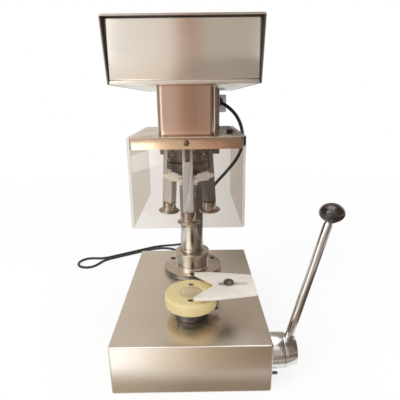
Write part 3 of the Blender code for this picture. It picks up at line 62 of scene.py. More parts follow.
FLOOR_OWN_LIGHT = 0.80
FADE_START = 0.35
FADE_END = 1.5
SURROUND_LIGHT = 0.62

camera = bpy.data.objects.new("camera", bpy.data.cameras.new("camera"))
camera.data.sensor_width = CAMERA_SENSOR
camera.data.lens = CAMERA_LENS
camera.data.clip_start = CAMERA_NEAREST
camera.matrix_world = (Matrix.Translation(CAMERA_PLACE) @ Matrix.Rotation(CAMERA_YAW, 4, "Z")
                       @ Matrix.Rotation(pi / 2 - CAMERA_DOWN, 4, "X") @ Matrix.Rotation(CAMERA_ROLL, 4, "Z"))
scene.collection.objects.link(camera)
scene.camera = camera


def add_node(tree, kind, inputs=None, **settings):
    """A shader node with its settings; an input is a value, or a socket to link."""
    made = tree.nodes.new(f"ShaderNode{kind}")
    for name, value in settings.items():
        setattr(made, name, value)
    for name, value in (inputs or {}).items():
        if isinstance(value, bpy.types.NodeSocket):
            tree.links.new(value, made.inputs[name])
        else:
            made.inputs[name].default_value = value
    return made


def seen_directly(tree):
    """1 for rays of the camera, of mirrors and of glass, and 0 for those that only carry light."""
    path = add_node(tree, "LightPath")
    both = add_node(tree, "Math", {0: path.outputs["Is Camera Ray"], 1: path.outputs["Is Glossy Ray"]},
                    operation="MAXIMUM")
    return add_node(tree, "Math", {0: both.outputs[0], 1: path.outputs["Is Transmission Ray"]},
                    operation="MAXIMUM").outputs[0]


world = bpy.data.worlds.new("surround")
scene.world = world
world.use_nodes = True
tree = world.node_tree
level = add_node(tree, "MapRange", {"Value": seen_directly(tree), "To Min": SURROUND_LIGHT, "To Max": 1.0})
tree.links.new(level.outputs["Result"], tree.nodes["Background"].inputs["Strength"])
tree.nodes["Background"].inputs["Color"].default_value = WHITE


def new_tree(name):
    """A new material and its node tree."""
    made = bpy.data.materials.new(name)
    made.use_nodes = True
    return made, made.node_tree


def own_place(tree):
    """The object's own coordinates."""
    return add_node(tree, "TexCoord").outputs["Object"]


def show(tree, shader):
    """Makes a shader the material's surface."""
    tree.links.new(shader.outputs[0], tree.nodes["Material Output"].inputs["Surface"])


def put_in_scene(name, shape, *materials):
    """An object at the origin made of a finished shape."""
    mesh = bpy.data.meshes.new(name)
    shape.to_mesh(mesh)
    shape.free()
    for material in materials:
        mesh.materials.append(material)
    made = bpy.data.objects.new(name, mesh)
    scene.collection.objects.link(made)
    return made


def board(name, size, place, facing, surface):
    """A flat rectangle of the studio, facing a point."""
    shape = bmesh.new()
    bmesh.ops.create_grid(shape, x_segments=1, y_segments=1, size=0.5)
    bmesh.ops.scale(shape, vec=(*size, 1), verts=shape.verts)
    turn = (Vector(facing) - Vector(place)).to_track_quat("Z", "Y").to_matrix().to_4x4()
    bmesh.ops.transform(shape, matrix=Matrix.Translation(place) @ turn, verts=shape.verts)
    made = put_in_scene(name, shape, surface)
    return made


floor_paint, tree = new_tree("floor_paint")
paper = add_node(tree, "BsdfDiffuse", {"Color": PAPER})
glow = add_node(tree, "Emission", {"Color": WHITE})
away = add_node(tree, "VectorMath", {0: own_place(tree)}, operation="LENGTH")
fade = add_node(tree, "MapRange", {"Value": away.outputs["Value"], "From Min": FADE_START, "From Max": FADE_END,
                                   "To Min": FLOOR_OWN_LIGHT, "To Max": 1.0})
share = add_node(tree, "Math", {0: seen_directly(tree), 1: fade.outputs["Result"]}, operation="MULTIPLY")
show(tree, add_node(tree, "MixShader", {0: share.outputs[0], 1: paper.outputs[0], 2: glow.outputs[0]}))
board("floor", (FLOOR_SIZE, FLOOR_SIZE), (0, 0, -FLOOR_BELOW), (0, 0, 1), floor_paint)

MAT_FADE_START = -0.214
MAT_FADE_END = -0.170
BOARDS = {
    "front_board": ((1.60, 1.18), (0.0, -1.70, 0.59), (0, -0.15, 0.59),
                    ((-0.80, (0.90, 0.85, 0.80)), (-0.20, (0.84, 0.78, 0.72)), (-0.13, (0.68, 0.55, 0.48)),
                     (-0.07, (0.54, 0.37, 0.30)), (0.04, (0.46, 0.32, 0.26)), (0.12, (0.48, 0.40, 0.335)),
                     (0.22, (0.53, 0.47, 0.41)), (0.80, (0.50, 0.45, 0.39)))),
    "strip_board": ((0.24, 0.040), (0.0, -0.250, 0.3150), (0, -0.15, 0.3150),
                    ((-0.088, (4.60, 4.70, 4.80)), (-0.066, (4.00, 3.90, 3.70)), (-0.046, (1.80, 1.55, 1.28)),
                     (-0.02, (1.32, 1.08, 0.84)), (0.015, (1.16, 0.88, 0.67)), (0.05, (1.02, 0.66, 0.48)),
                     (0.082, (0.52, 0.35, 0.26)))),
    "bright_board": ((0.85, 1.50), (-1.12, -1.22, 0.60), (0, 0, 0.30), ((0.0, (1.70, 1.66, 1.56)),)),
    "tan_board": ((0.95, 1.50), (1.14, -1.20, 0.60), (0, 0, 0.30), ((0.0, (0.27, 0.205, 0.165)),)),
    "dark_board": ((3.00, 3.00), (1.70, -0.30, 1.40), (0, 0, 0.30), ((0.0, (0.14, 0.11, 0.10)),)),
    "grey_board": ((1.50, 1.50), (-1.70, -0.05, 0.60), (0, 0, 0.30), ((0.0, (0.41, 0.43, 0.375)),)),
    "back_board": ((4.00, 2.40), (0.0, 1.90, 1.30), (0, 0, 0.10),
                   ((-0.70, (0.64, 0.57, 0.50)), (0.0, (0.53, 0.46, 0.39)), (0.70, (0.37, 0.31, 0.26)))),
    "low_board": ((0.60, 0.50), (0.42, 1.90, 0.50), (0, 0, 0.40), ((0.0, (0.16, 0.14, 0.12)),)),
    "pale_board": ((0.60, 0.32), (-0.33, 1.90, 0.42), (0, 0, 0.40), ((0.0, (0.78, 0.72, 0.66)),)),
    "dark_mat": ((1.10, 1.50), (0.77, 0.05, 0.0006), (0.77, 0.05, 1), ((0.0, (0.13, 0.105, 0.095)),)),
    "grey_mat": ((1.00, 1.20), (-0.80, 0.35, 0.0006), (-0.80, 0.35, 1), ((0.0, (0.46, 0.48, 0.42)),)),
    "front_mat": ((1.60, 1.20), (0.0, -1.10, 0.0004), (0, -1.10, 1),
                  ((-0.80, (1.05, 1.00, 0.94)), (-0.15, (0.80, 0.70, 0.61)), (-0.05, (0.44, 0.34, 0.28)),
                   (0.05, (0.38, 0.30, 0.25)), (0.20, (0.40, 0.35, 0.30)), (0.80, (0.36, 0.31, 0.27)))),
    "far_mat": ((0.44, 0.30), (0.0, -0.350, 0.0006), (0, -0.350, 1),
                ((-0.13, (1.58, 1.60, 1.62)), (-0.05, (0.98, 0.88, 0.74)), (0.03, (0.56, 0.45, 0.33)),
                 (0.12, (0.34, 0.26, 0.19)))),
    "near_mat": ((0.44, 0.060), (0.0, -0.1860, 0.0009), (0, -0.1860, 1),
                 ((-0.13, (0.56, 0.48, 0.37)), (0.0, (0.34, 0.28, 0.22)), (0.12, (0.33, 0.27, 0.21)))),
}
for name, (size, place, facing, stops) in BOARDS.items():
    surface, tree = new_tree(name)
    across = add_node(tree, "SeparateXYZ", {0: own_place(tree)})
    left, span = stops[0][0], stops[-1][0] - stops[0][0] or 1.0
    along = add_node(tree, "MapRange", {"Value": across.outputs["X"], "From Min": left, "From Max": left + span})
    ramp = add_node(tree, "ValToRGB", {"Fac": along.outputs["Result"]})
    tones = ramp.color_ramp.elements
    for spot, colour in stops[1:-1]:
        tones.new((spot - left) / span).color = (*colour, 1)
    tones[0].color, tones[-1].color = (*stops[0][1], 1), (*stops[-1][1], 1)
    lit = add_node(tree, "Emission", {"Color": ramp.outputs["Color"]})
    if name == "near_mat":
        solid = add_node(tree, "MapRange", {"Value": across.outputs["Y"], "From Min": MAT_FADE_START,
                                            "From Max": MAT_FADE_END}, interpolation_type="SMOOTHSTEP")
        lit = add_node(tree, "MixShader", {0: solid.outputs["Result"], 2: lit.outputs[0],
                                           1: add_node(tree, "BsdfTransparent").outputs[0]})
    show(tree, lit)
    flag = board(name, size, place, facing, surface)
    flag.visible_camera = flag.visible_diffuse = flag.visible_shadow = flag.visible_transmission = False

LAMP_AIM = Vector((0, 0, 0.2))
LAMPS = {
    "key_lamp": (1.1, (-1.1, -0.9, 1.5), 12),
    "top_lamp": (1.4, (0.1, 0.1, 1.9), 10),
    "fill_lamp": (1.0, (1.2, -0.9, 0.9), 4),
}
for name, (size, place, watts) in LAMPS.items():
    lamp = bpy.data.objects.new(name, bpy.data.lights.new(name, "AREA"))
    lamp.data.size = size
    lamp.data.energy = watts
    lamp.location = place
    lamp.rotation_euler = (LAMP_AIM - Vector(place)).to_track_quat("-Z", "Y").to_euler()
    scene.collection.objects.link(lamp)
    lamp.visible_glossy = name != "fill_lamp"

# Mains lead: black round cord, 6 mm thick, from the strain relief down behind the column, out to the left in a
# narrow loop and back to a small coil behind the base, where a tie holds what is left over.
CORD_RADIUS = 0.003
LEAD_STEP = 0.016
ROUTE_STEPS = 12
LEAD_ROUTE = [
    (0.0540, 0.1167, 0.3810), (0.0540, 0.1060, 0.3810), (0.0562, 0.0955, 0.3798), (0.0620, 0.0872, 0.3765),
    (0.0702, 0.0822, 0.3705), (0.0790, 0.0808, 0.3615), (0.0865, 0.0825, 0.3500), (0.0920, 0.0865, 0.3350),
    (0.0945, 0.0915, 0.3190), (0.0940, 0.0960, 0.3040), (0.0880, 0.1020, 0.2840), (0.0750, 0.1090, 0.2640),
    (0.0600, 0.1180, 0.2440), (0.0440, 0.1350, 0.2210), (0.0300, 0.1660, 0.1830), (0.0180, 0.2120, 0.1340),
    (0.0060, 0.2560, 0.0870), (-0.0080, 0.2950, 0.0450), (-0.0270, 0.3250, 0.0175), (-0.0500, 0.3420, 0.0060),
    (-0.0780, 0.3455, 0.0031), (-0.1100, 0.3355, 0.0031), (-0.1400, 0.3185, 0.0031), (-0.1726, 0.2998, 0.0031),
    (-0.1986, 0.2848, 0.0031), (-0.2202, 0.2723, 0.0031), (-0.2318, 0.2685, 0.0031), (-0.2465, 0.2705, 0.0031),
    (-0.2636, 0.2716, 0.0031), (-0.2773, 0.2629, 0.0031), (-0.2835, 0.2479, 0.0031), (-0.2800, 0.2320, 0.0031),
    (-0.2679, 0.2211, 0.0031), (-0.2519, 0.2189, 0.0031), (-0.2375, 0.2264, 0.0031), (-0.2299, 0.2418, 0.0031),
    (-0.2243, 0.2555, 0.0031), (-0.2152, 0.2637, 0.0031), (-0.1936, 0.2762, 0.0031), (-0.1676, 0.2912, 0.0031),
    (-0.1330, 0.3110, 0.0031), (-0.1040, 0.3245, 0.0031), (-0.0780, 0.3280, 0.0031), (-0.0550, 0.3200, 0.0031),
    (-0.0380, 0.3020, 0.0031), (-0.0250, 0.2810, 0.0031), (-0.0100, 0.2622, 0.0033), (0.0050, 0.2545, 0.0039),
    (0.0217, 0.25405, 0.0041),
]
COIL_CENTRE = (0.028, 0.215)
COIL_INNER_RADIUS = 0.0275
COIL_PITCH = 0.0066
COIL_TURNS = 3.5
COIL_CLIMB_TURNS = 0.5
COIL_START_ANGLE = radians(90)
COIL_TAIL = 0.040
COIL_HEIGHT = 0.0041
LOOP_POINTS = 24


def even_route(points, step):
    """Points at even steps along a smooth curve through the given points."""
    knots = [Vector(point) for point in points]
    knots = [2 * knots[0] - knots[1], *knots, 2 * knots[-1] - knots[-2]]
    fine = []
    for before, start, end, after in zip(knots, knots[1:], knots[2:], knots[3:]):
        square = 2 * before - 5 * start + 4 * end - after
        cube = 3 * start - before - 3 * end + after
        for part in range(ROUTE_STEPS):
            t = part / ROUTE_STEPS
            fine.append(0.5 * (2 * start + (end - before) * t + square * t ** 2 + cube * t ** 3))
    fine.append(knots[-2])
    length = sum((b - a).length for a, b in zip(fine, fine[1:]))
    count = round(length / step)
    even, walked = [fine[0]], 0.0
    for a, b in zip(fine, fine[1:]):
        span = (b - a).length
        while len(even) < count and walked + span >= len(even) * length / count:
            even.append(a.lerp(b, (len(even) * length / count - walked) / span))
        walked += span
    return [*even, fine[-1]]


lead_points = even_route(LEAD_ROUTE, LEAD_STEP)
for step in range(round(COIL_TURNS * LOOP_POINTS) + 1):
    turns = step / LOOP_POINTS - COIL_TURNS / 2
    radius = COIL_INNER_RADIUS + COIL_PITCH * abs(turns)
    angle = COIL_START_ANGLE - 2 * pi * step / LOOP_POINTS
    climb = min(max(turns / COIL_CLIMB_TURNS + 0.5, 0), 1)
    lead_points.append(Vector((COIL_CENTRE[0] + radius * cos(angle), COIL_CENTRE[1] + radius * sin(angle),
                               COIL_HEIGHT + COIL_PITCH * climb)))
plug_way = Vector((sin(angle), -cos(angle), 0))
lead_points.append(lead_points[-1] + plug_way * COIL_TAIL)


def new_material(name, colour, roughness, metallic=0.0, **sockets):
    """A Principled material with its plain values set, its node tree and its shader."""
    made, tree = new_tree(name)
    shader = tree.nodes["Principled BSDF"]
    plain = {"Base Color": (*colour, 1), "Roughness": roughness, "Metallic": metallic, **sockets}
    for socket, value in plain.items():
        shader.inputs[socket.replace("_", " ")].default_value = value
    made.diffuse_color = (*colour, 1)
    return made, tree, shader


def feed(tree, shader, **sources):
    """Links sources to the shader's sockets of the same names."""
    for socket, source in sources.items():
        tree.links.new(source, shader.inputs[socket.replace("_", " ")])


def speckle(tree, scale, detail=3.0, stretch=(1, 1, 1)):
    """Noise on the piece's own coordinates, drawn out by a stretch, from 0 to 1."""
    drawn = add_node(tree, "Mapping", {"Vector": own_place(tree), "Scale": stretch})
    return add_node(tree, "TexNoise", {"Vector": drawn.outputs[0], "Scale": scale, "Detail": detail}).outputs["Fac"]


def blend_colours(tree, share, first, second, low=0.3, high=0.7):
    """A ramp from one colour to another as a share goes from low to high."""
    ramp = add_node(tree, "ValToRGB", {"Fac": share})
    for stop, place, colour in zip(ramp.color_ramp.elements, (low, high), (first, second)):
        stop.position = place
        stop.color = (*colour, 1)
    return ramp.outputs["Color"]


def spread_value(tree, share, low, high):
    """A share from 0.25 to 0.75 spread over a range."""
    return add_node(tree, "MapRange", {"Value": share, "From Min": 0.25, "From Max": 0.75, "To Min": low,
                                       "To Max": high}).outputs["Result"]


def roughen(tree, shader, share, strength, distance=0.0001):
    """Bump from a share."""
    bump = add_node(tree, "Bump", {"Height": share, "Strength": strength, "Distance": distance})
    feed(tree, shader, Normal=bump.outputs["Normal"])


def moulded(name, dark, light, roughness, grain):
    """Moulded plastic or rubber: a fine grain, uneven gloss and faint rubbed patches."""
    made, tree, shader = new_material(name, dark, roughness)
    patches = speckle(tree, 35, 4)
    feed(tree, shader, Base_Color=blend_colours(tree, patches, dark, light),
         Roughness=spread_value(tree, patches, roughness * 0.8, roughness * 1.25))
    roughen(tree, shader, speckle(tree, grain), 0.12, 0.0002)
    return made


cord_rubber = moulded("cord_rubber", (0.012, 0.012, 0.012), (0.028, 0.027, 0.026), 0.42, 1800)
curve = bpy.data.curves.new("mains_lead", "CURVE")
curve.dimensions = "3D"
curve.bevel_depth = CORD_RADIUS
curve.bevel_resolution = 4
curve.use_fill_caps = True
spline = curve.splines.new("NURBS")
spline.points.add(len(lead_points) - 1)
for knot, point in zip(spline.points, lead_points):
    knot.co = (*point, 1)
spline.order_u = 4
spline.use_endpoint_u = True
spline.resolution_u = 3
curve.materials.append(cord_rubber)
lead = bpy.data.objects.new("mains_lead", curve)
scene.collection.objects.link(lead)
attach(lead, "frame")
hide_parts("cord_lead", "cord_coil")

# Strain relief, tie and plug: black moulded rubber and plastic. The ribbed relief is pressed into the switch box,
# a flat band holds the coil, and the lead ends in a plug with two round pins.
TURN_STEPS = 96
PIN_STEPS = 32
CORNER_STEPS = 8
FOLD_STEPS = 5
FINE_EDGE = 0.0003
MERGE = 1e-6
SHARP = radians(40)
ALIGNED = 0.9
FRONT_SIDE, BACK_SIDE = (0, -1, 0), (0, 1, 0)
TOWARDS_FRONT = Matrix.Rotation(pi / 2, 4, "X")
ALONG_X = Matrix.Rotation(pi / 2, 4, "Y")
RELIEF_ROOT = (0.0540, 0.1372, 0.3810)
RELIEF_LENGTH = 0.020
RELIEF_COLLAR = ((0, 0), (0.0080, 0), (0.0080, 0.0028), (0.0062, 0.0034))
RELIEF_LIP = ((0.0045, -0.0006), (0.0041, 0), (0, 0))
RELIEF_RIBS = 5
RIB_RADIUS = 0.0066
RIB_TAPER = 0.0004
RIB_START = 0.0042
RIB_PITCH = 0.0030
RIB_SHAPE = ((0, 0), (0, 0.0016), (-0.0010, 0.0019), (-0.0010, 0.0028))
TIE_WALL = 0.0008
TIE_FOLD = 0.0030
PLUG_SIDES = 48
PLUG_LENGTH = 0.042
PLUG_HALF_HEIGHT = 0.0104
PLUG_OUTLINE = ((0.0, 0.0048), (0.0030, 0.0052), (0.0045, 0.0046), (0.0060, 0.0058), (0.0075, 0.0052),
                (0.0090, 0.0066), (0.0105, 0.0060), (0.0130, 0.0080), (0.0190, 0.0122), (0.0240, 0.0130),
                (0.0400, 0.0130), (0.0417, 0.0120), (0.0420, 0.0105))
PLUG_PIN_SPACING = 0.019
PLUG_PIN_LENGTH = 0.019
PLUG_PIN_RADIUS = 0.002
PLUG_PIN_ROOT = 0.001
PLUG_PIN_TIP = 0.0012


def bevel(shape, edges, width, segments):
    """Rounds some edges of a shape."""
    if edges and width:
        bmesh.ops.bevel(shape, geom=edges, offset=width, offset_type="OFFSET", affect="EDGES", segments=segments,
                        profile=0.5, material=-1, clamp_overlap=True)


def round_edges(shape, width, segments=2):
    """Rounds every sharp edge of a closed shape a little."""
    bevel(shape, [edge for edge in shape.edges if edge.calc_face_angle(0) > SHARP], width, segments)


def moved(shape, place):
    """A shape put in its place."""
    bmesh.ops.transform(shape, matrix=place, verts=shape.verts)
    return shape


def turned(profile, place=Matrix(), edge=FINE_EDGE, steps=TURN_STEPS):
    """Spins a profile of (radius, height) points round Z, rounds its edges and puts it in place."""
    shape = bmesh.new()
    points = [shape.verts.new((radius, 0, height)) for radius, height in profile]
    edges = [shape.edges.new(pair) for pair in zip(points, points[1:])]
    if profile[0][0] > 0:
        edges.append(shape.edges.new((points[-1], points[0])))
    bmesh.ops.spin(shape, geom=points + edges, cent=(0, 0, 0), axis=(0, 0, 1), angle=2 * pi, steps=steps,
                   use_merge=True)
    bmesh.ops.remove_doubles(shape, verts=shape.verts, dist=MERGE)
    bmesh.ops.recalc_face_normals(shape, faces=shape.faces)
    round_edges(shape, edge)
    return moved(shape, place)


def box_shape(low, high):
    """A plain box between two corners."""
    shape = bmesh.new()
    middle = (Vector(low) + Vector(high)) / 2
    bmesh.ops.create_cube(shape, size=1, matrix=Matrix.LocRotScale(middle, None, Vector(high) - Vector(low)))
    return shape


def folded_sheet(shape, wall, fold, open_sides, corner=0.0):
    """Opens a box on some sides, folds its edges round and gives the sheet its wall, inwards."""
    gone = [face for face in shape.faces if any(face.normal.dot(Vector(side)) > ALIGNED for side in open_sides)]
    bmesh.ops.delete(shape, geom=gone, context="FACES")
    upright = [edge for edge in shape.edges if not edge.is_boundary
               and abs((edge.verts[1].co - edge.verts[0].co).normalized().z) > ALIGNED]
    bevel(shape, upright, corner, CORNER_STEPS)
    folds = [edge for edge in shape.edges if not edge.is_boundary and edge.calc_face_angle(0) > SHARP]
    bevel(shape, folds, fold, FOLD_STEPS)
    shape.normal_update()
    bmesh.ops.solidify(shape, geom=shape.faces[:], thickness=wall)
    return shape


def joined(first, *others):
    """Several shapes as one."""
    carrier = bpy.data.meshes.new("carrier")
    for other in others:
        other.to_mesh(carrier)
        other.free()
        first.from_mesh(carrier)
    bpy.data.meshes.remove(carrier)
    return first


def make_piece(name, shape, material, body, slot, *nodes, marked=None):
    """A piece that rides on a body and stands for CAD nodes; marked faces have their own material. The slot is not
    used.
    """
    piece = put_in_scene(name, shape, *((material, marked) if marked else (material,)))
    piece.data.shade_smooth()
    piece.data.set_sharp_from_angle(angle=SHARP)
    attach(piece, body)
    if nodes:
        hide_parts(*nodes)
    return piece


relief_profile = list(RELIEF_COLLAR)
for rib in range(RELIEF_RIBS):
    start, radius = RIB_START + RIB_PITCH * rib, RIB_RADIUS - RIB_TAPER * rib
    relief_profile += [(radius + out, start + along) for out, along in RIB_SHAPE]
relief_profile += [(radius, RELIEF_LENGTH + along) for radius, along in RELIEF_LIP]
relief = turned(relief_profile, Matrix.Translation(RELIEF_ROOT) @ TOWARDS_FRONT)
make_piece("strain_relief", relief, cord_rubber, "frame", "black_rubber", "cable_gland")

plug_plastic = moulded("plug_plastic", (0.016, 0.015, 0.015), (0.034, 0.032, 0.031), 0.38, 900)
band = folded_sheet(box_shape(*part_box("coil_tie")), TIE_WALL, TIE_FOLD, (BACK_SIDE, FRONT_SIDE))
tie = make_piece("coil_tie_band", band, plug_plastic, "frame", "black_plastic", "coil_tie")

plug_shape = bmesh.new()
bmesh.ops.create_circle(plug_shape, cap_ends=True, radius=1, segments=PLUG_SIDES)
bmesh.ops.rotate(plug_shape, cent=(0, 0, 0), matrix=Matrix.Rotation(pi / 2, 3, "Y"), verts=plug_shape.verts)
ring = plug_shape.faces[:]
previous = (1.0, 1.0, 0.0)
for number, (along, half) in enumerate(PLUG_OUTLINE):
    if number:
        grown = bmesh.ops.extrude_face_region(plug_shape, geom=ring)["geom"]
        ring = [item for item in grown if isinstance(item, bmesh.types.BMFace)]
    corners = list({corner for face in ring for corner in face.verts})
    high = min(half, PLUG_HALF_HEIGHT)
    bmesh.ops.translate(plug_shape, vec=(along - previous[2], 0, 0), verts=corners)
    bmesh.ops.scale(plug_shape, vec=(1, half / previous[0], high / previous[1]), verts=corners)
    previous = (half, high, along)
bmesh.ops.recalc_face_normals(plug_shape, faces=plug_shape.faces)
plug_place = Matrix.Translation(lead_points[-1]) @ Matrix.Rotation(atan2(plug_way.y, plug_way.x), 4, "Z")
plug = make_piece("mains_plug", moved(plug_shape, plug_place), plug_plastic, "frame", "black_plastic", "plug")

pin_metal, tree, shader = new_material("pin_metal", (0.68, 0.66, 0.62), 0.22, 1.0)
feed(tree, shader, Roughness=spread_value(tree, speckle(tree, 300), 0.16, 0.34))
pin_root, pin_end = PLUG_LENGTH - PLUG_PIN_ROOT, PLUG_LENGTH + PLUG_PIN_LENGTH
pin_profile = [(0, pin_root), (PLUG_PIN_RADIUS, pin_root), (PLUG_PIN_RADIUS, pin_end - PLUG_PIN_TIP),
               (PLUG_PIN_TIP, pin_end), (0, pin_end)]
pins = [turned(pin_profile, plug_place @ Matrix.Translation((0, side * PLUG_PIN_SPACING / 2, 0)) @ ALONG_X,
               steps=PIN_STEPS) for side in (-1, 1)]
plug_pins = make_piece("plug_pins", joined(*pins), pin_metal, "frame", "polished_steel")

# Base: a box folded from 2 mm stainless sheet, open below, with corners welded and ground round. A plate let in
# below closes it. The sheet is brushed from side to side, and hands have left it cloudy and a little warm.
SHEET = 0.002
BASE_CORNER = 0.004
BASE_FOLD = 0.0020
UNDERSIDE = (0, 0, -1)


def multiplied(tree, first, second):
    """One colour darkened by another."""
    return add_node(tree, "Mix", {0: 1.0, 6: first, 7: second}, data_type="RGBA", blend_type="MULTIPLY").outputs[2]


def added(tree, first, second, clamped=True):
    """The sum of two values."""
    return add_node(tree, "Math", {0: first, 1: second}, operation="ADD", use_clamp=clamped).outputs[0]


def brushed_sheet(name, grain, pale, warm, roughness):
    """Brushed stainless sheet with its fine lines along one axis, under warm clouds and finger marks."""
    made, tree, shader = new_material(name, pale, roughness, 1.0)
    clouds, marks = speckle(tree, 6, 2), speckle(tree, 26, 6)
    streaks = speckle(tree, 1, 3, [22 if axis == grain else 1500 for axis in "XYZ"])
    scratches = speckle(tree, 1, 2, [40 if axis == grain else 4000 for axis in "XYZ"])
    shade = blend_colours(tree, streaks, (0.95, 0.95, 0.95), (0.985, 0.985, 0.985), 0.35, 0.65)
    worn = added(tree, spread_value(tree, marks, -0.03, 0.04), spread_value(tree, streaks, -0.012, 0.020), False)
    feed(tree, shader, Base_Color=multiplied(tree, blend_colours(tree, clouds, pale, warm), shade),
         Roughness=added(tree, worn, roughness))
    roughen(tree, shader, scratches, 0.04)
    return made


def dress(material, *names):
    """Gives CAD nodes that keep their own shape a material."""
    for name in names:
        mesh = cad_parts[name].data
        mesh.materials.clear()
        mesh.materials.append(material)


base_steel = brushed_sheet("base_steel", "X", (0.82, 0.76, 0.69), (0.75, 0.68, 0.60), 0.30)
base = folded_sheet(box_shape(*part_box("base_cover")), SHEET, BASE_FOLD, (UNDERSIDE,), BASE_CORNER)
make_piece("base_shell", base, base_steel, "frame", "satin_steel", "base_cover")
dress(base_steel, "bottom_plate")

# Column: a chromed tube in a turned steel flange with a collar, screwed through the base top into a stiffening
# plate. Three socket screws sit sunk in the flange, whose upright wall is painted dark as shade, and the tube runs
# up into the clamp of the head.
BAR_STEPS = 48
CLEAR = 0.0003
OVERCUT = 0.001
POST_Y = 0.074
POST_RADIUS = 0.021
POST_BORE = 0.016
POST_EDGE = 0.0008
FLANGE_RADIUS = 0.054
FLANGE_TOP = 0.0823
FLANGE_EDGE = 0.0009
FLANGE_FILLET = 0.0012
COLLAR_RADIUS = 0.0318
FLANGE_SCREW_CIRCLE = 0.0445
FLANGE_SCREW_ANGLES = (-90, 30, 150)
FLANGE_SCREW_RADIUS = 0.005
FLANGE_SCREW_HEIGHT = 0.005
FLANGE_SCREW_SHANK = 0.003
FLANGE_SCREW_SUNK = 0.001
FLANGE_SCREW_FOOT = 0.0647


def rings(tree, axis, scale, distortion=1.5):
    """Fine turning rings round an upright axis, from 0 to 1."""
    centred = add_node(tree, "Mapping", {"Vector": own_place(tree), "Location": -axis.translation})
    return add_node(tree, "TexWave", {"Vector": centred.outputs[0], "Scale": scale, "Distortion": distortion,
                                      "Detail": 2.0}, wave_type="RINGS", rings_direction="Z").outputs["Fac"]


def chromed(name, colour, roughness, stretch):
    """Polished or chromed steel: faint polishing lines and a thin haze of handling."""
    made, tree, shader = new_material(name, colour, roughness, 1.0)
    haze, lines = speckle(tree, 45, 5), speckle(tree, 1, 3, stretch)
    feed(tree, shader, Base_Color=blend_colours(tree, haze, [c * 0.93 for c in colour], colour),
         Roughness=added(tree, spread_value(tree, haze, 0.7 * roughness, 1.25 * roughness),
                         spread_value(tree, lines, -0.015, 0.02)))
    roughen(tree, shader, lines, 0.04)
    return made


def faced(name, plain, spots, tones, axis, pitch, gloss, depth):
    """Steel faced on a lathe: cloudy in two tones, with turning rings in its gloss and its surface."""
    made, tree, shader = new_material(name, *plain)
    turning = rings(tree, axis, pitch)
    feed(tree, shader, Base_Color=blend_colours(tree, speckle(tree, *spots), *tones),
         Roughness=spread_value(tree, turning, *gloss))
    roughen(tree, shader, turning, depth)
    return made


def mottled(name, plain, spots, tones, gloss_spots, gloss, grain=None, **sockets):
    """A finish speckled in two tones, with uneven gloss and, where it has one, a grain."""
    made, tree, shader = new_material(name, *plain, **sockets)
    feed(tree, shader, Base_Color=blend_colours(tree, speckle(tree, *spots), *tones),
         Roughness=spread_value(tree, speckle(tree, *gloss_spots), *gloss))
    if grain:
        grain_spots, *depth = grain
        roughen(tree, shader, speckle(tree, *grain_spots), *depth)
    return made


def prism(outline, low, high, place=Matrix(), edge=FINE_EDGE, segments=2):
    """Draws an outline in XY up from one height to another, rounds its edges and puts it in place."""
    shape = bmesh.new()
    foot = shape.faces.new([shape.verts.new((x, y, low)) for x, y in outline])
    grown = bmesh.ops.extrude_face_region(shape, geom=[foot])["geom"]
    bmesh.ops.translate(shape, vec=(0, 0, high - low),
                        verts=[item for item in grown if isinstance(item, bmesh.types.BMVert)])
    bmesh.ops.recalc_face_normals(shape, faces=shape.faces)
    round_edges(shape, edge, segments)
    return moved(shape, place)


def on_circle(radius, degrees):
    """A point on a circle round the origin."""
    return radius * cos(radians(degrees)), radius * sin(radians(degrees))


def hexagon(radius):
    """A hexagon's outline, by its corner radius."""
    return [on_circle(radius, 60 * side) for side in range(6)]


def cut_away(shape, *tools):
    """Takes tool shapes out of a shape for good."""
    for tool in tools:
        blank, cutter = put_in_scene("cut", shape), put_in_scene("cut", tool)
        boolean = blank.modifiers.new("cut", "BOOLEAN")
        boolean.operation = "DIFFERENCE"
        boolean.solver = "EXACT"
        boolean.object = cutter
        shape = bmesh.new()
        shape.from_object(blank, bpy.context.evaluated_depsgraph_get())
        for holder in (blank, cutter):
            mesh = holder.data
            bpy.data.objects.remove(holder)
            bpy.data.meshes.remove(mesh)
    return shape


def plain_bar(radius, low, high, place=Matrix(), edge=0.0, steps=BAR_STEPS):
    """A round bar on the Z axis."""
    return turned([(0, low), (radius, low), (radius, high), (0, high)], place, edge, steps)


def tube(bore, radius, low, high, place, edge):
    """A round tube on the Z axis."""
    return turned([(bore, low), (radius, low), (radius, high), (bore, high)], place, edge)


def socket_screw(radius, height, shank, length, place):
    """A screw with its head's top at the origin and a hexagon socket in it."""
    head = turned([(0, -length), (shank, -length), (shank, -height), (radius, -height), (radius, 0), (0, 0)],
                  edge=0.08 * radius, steps=BAR_STEPS)
    return moved(cut_away(head, prism(hexagon(0.56 * radius), -0.6 * height, height, edge=0)), place)


column_axis = Matrix.Translation((0, POST_Y, 0))
column_chrome = chromed("column_chrome", (0.62, 0.58, 0.54), 0.16, (300, 300, 5))
post_low, post_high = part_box("post")
column_tube = tube(POST_BORE, POST_RADIUS, post_low[2], post_high[2], column_axis, POST_EDGE)
make_piece("column_tube", column_tube, column_chrome, "frame", "polished_steel", "post")

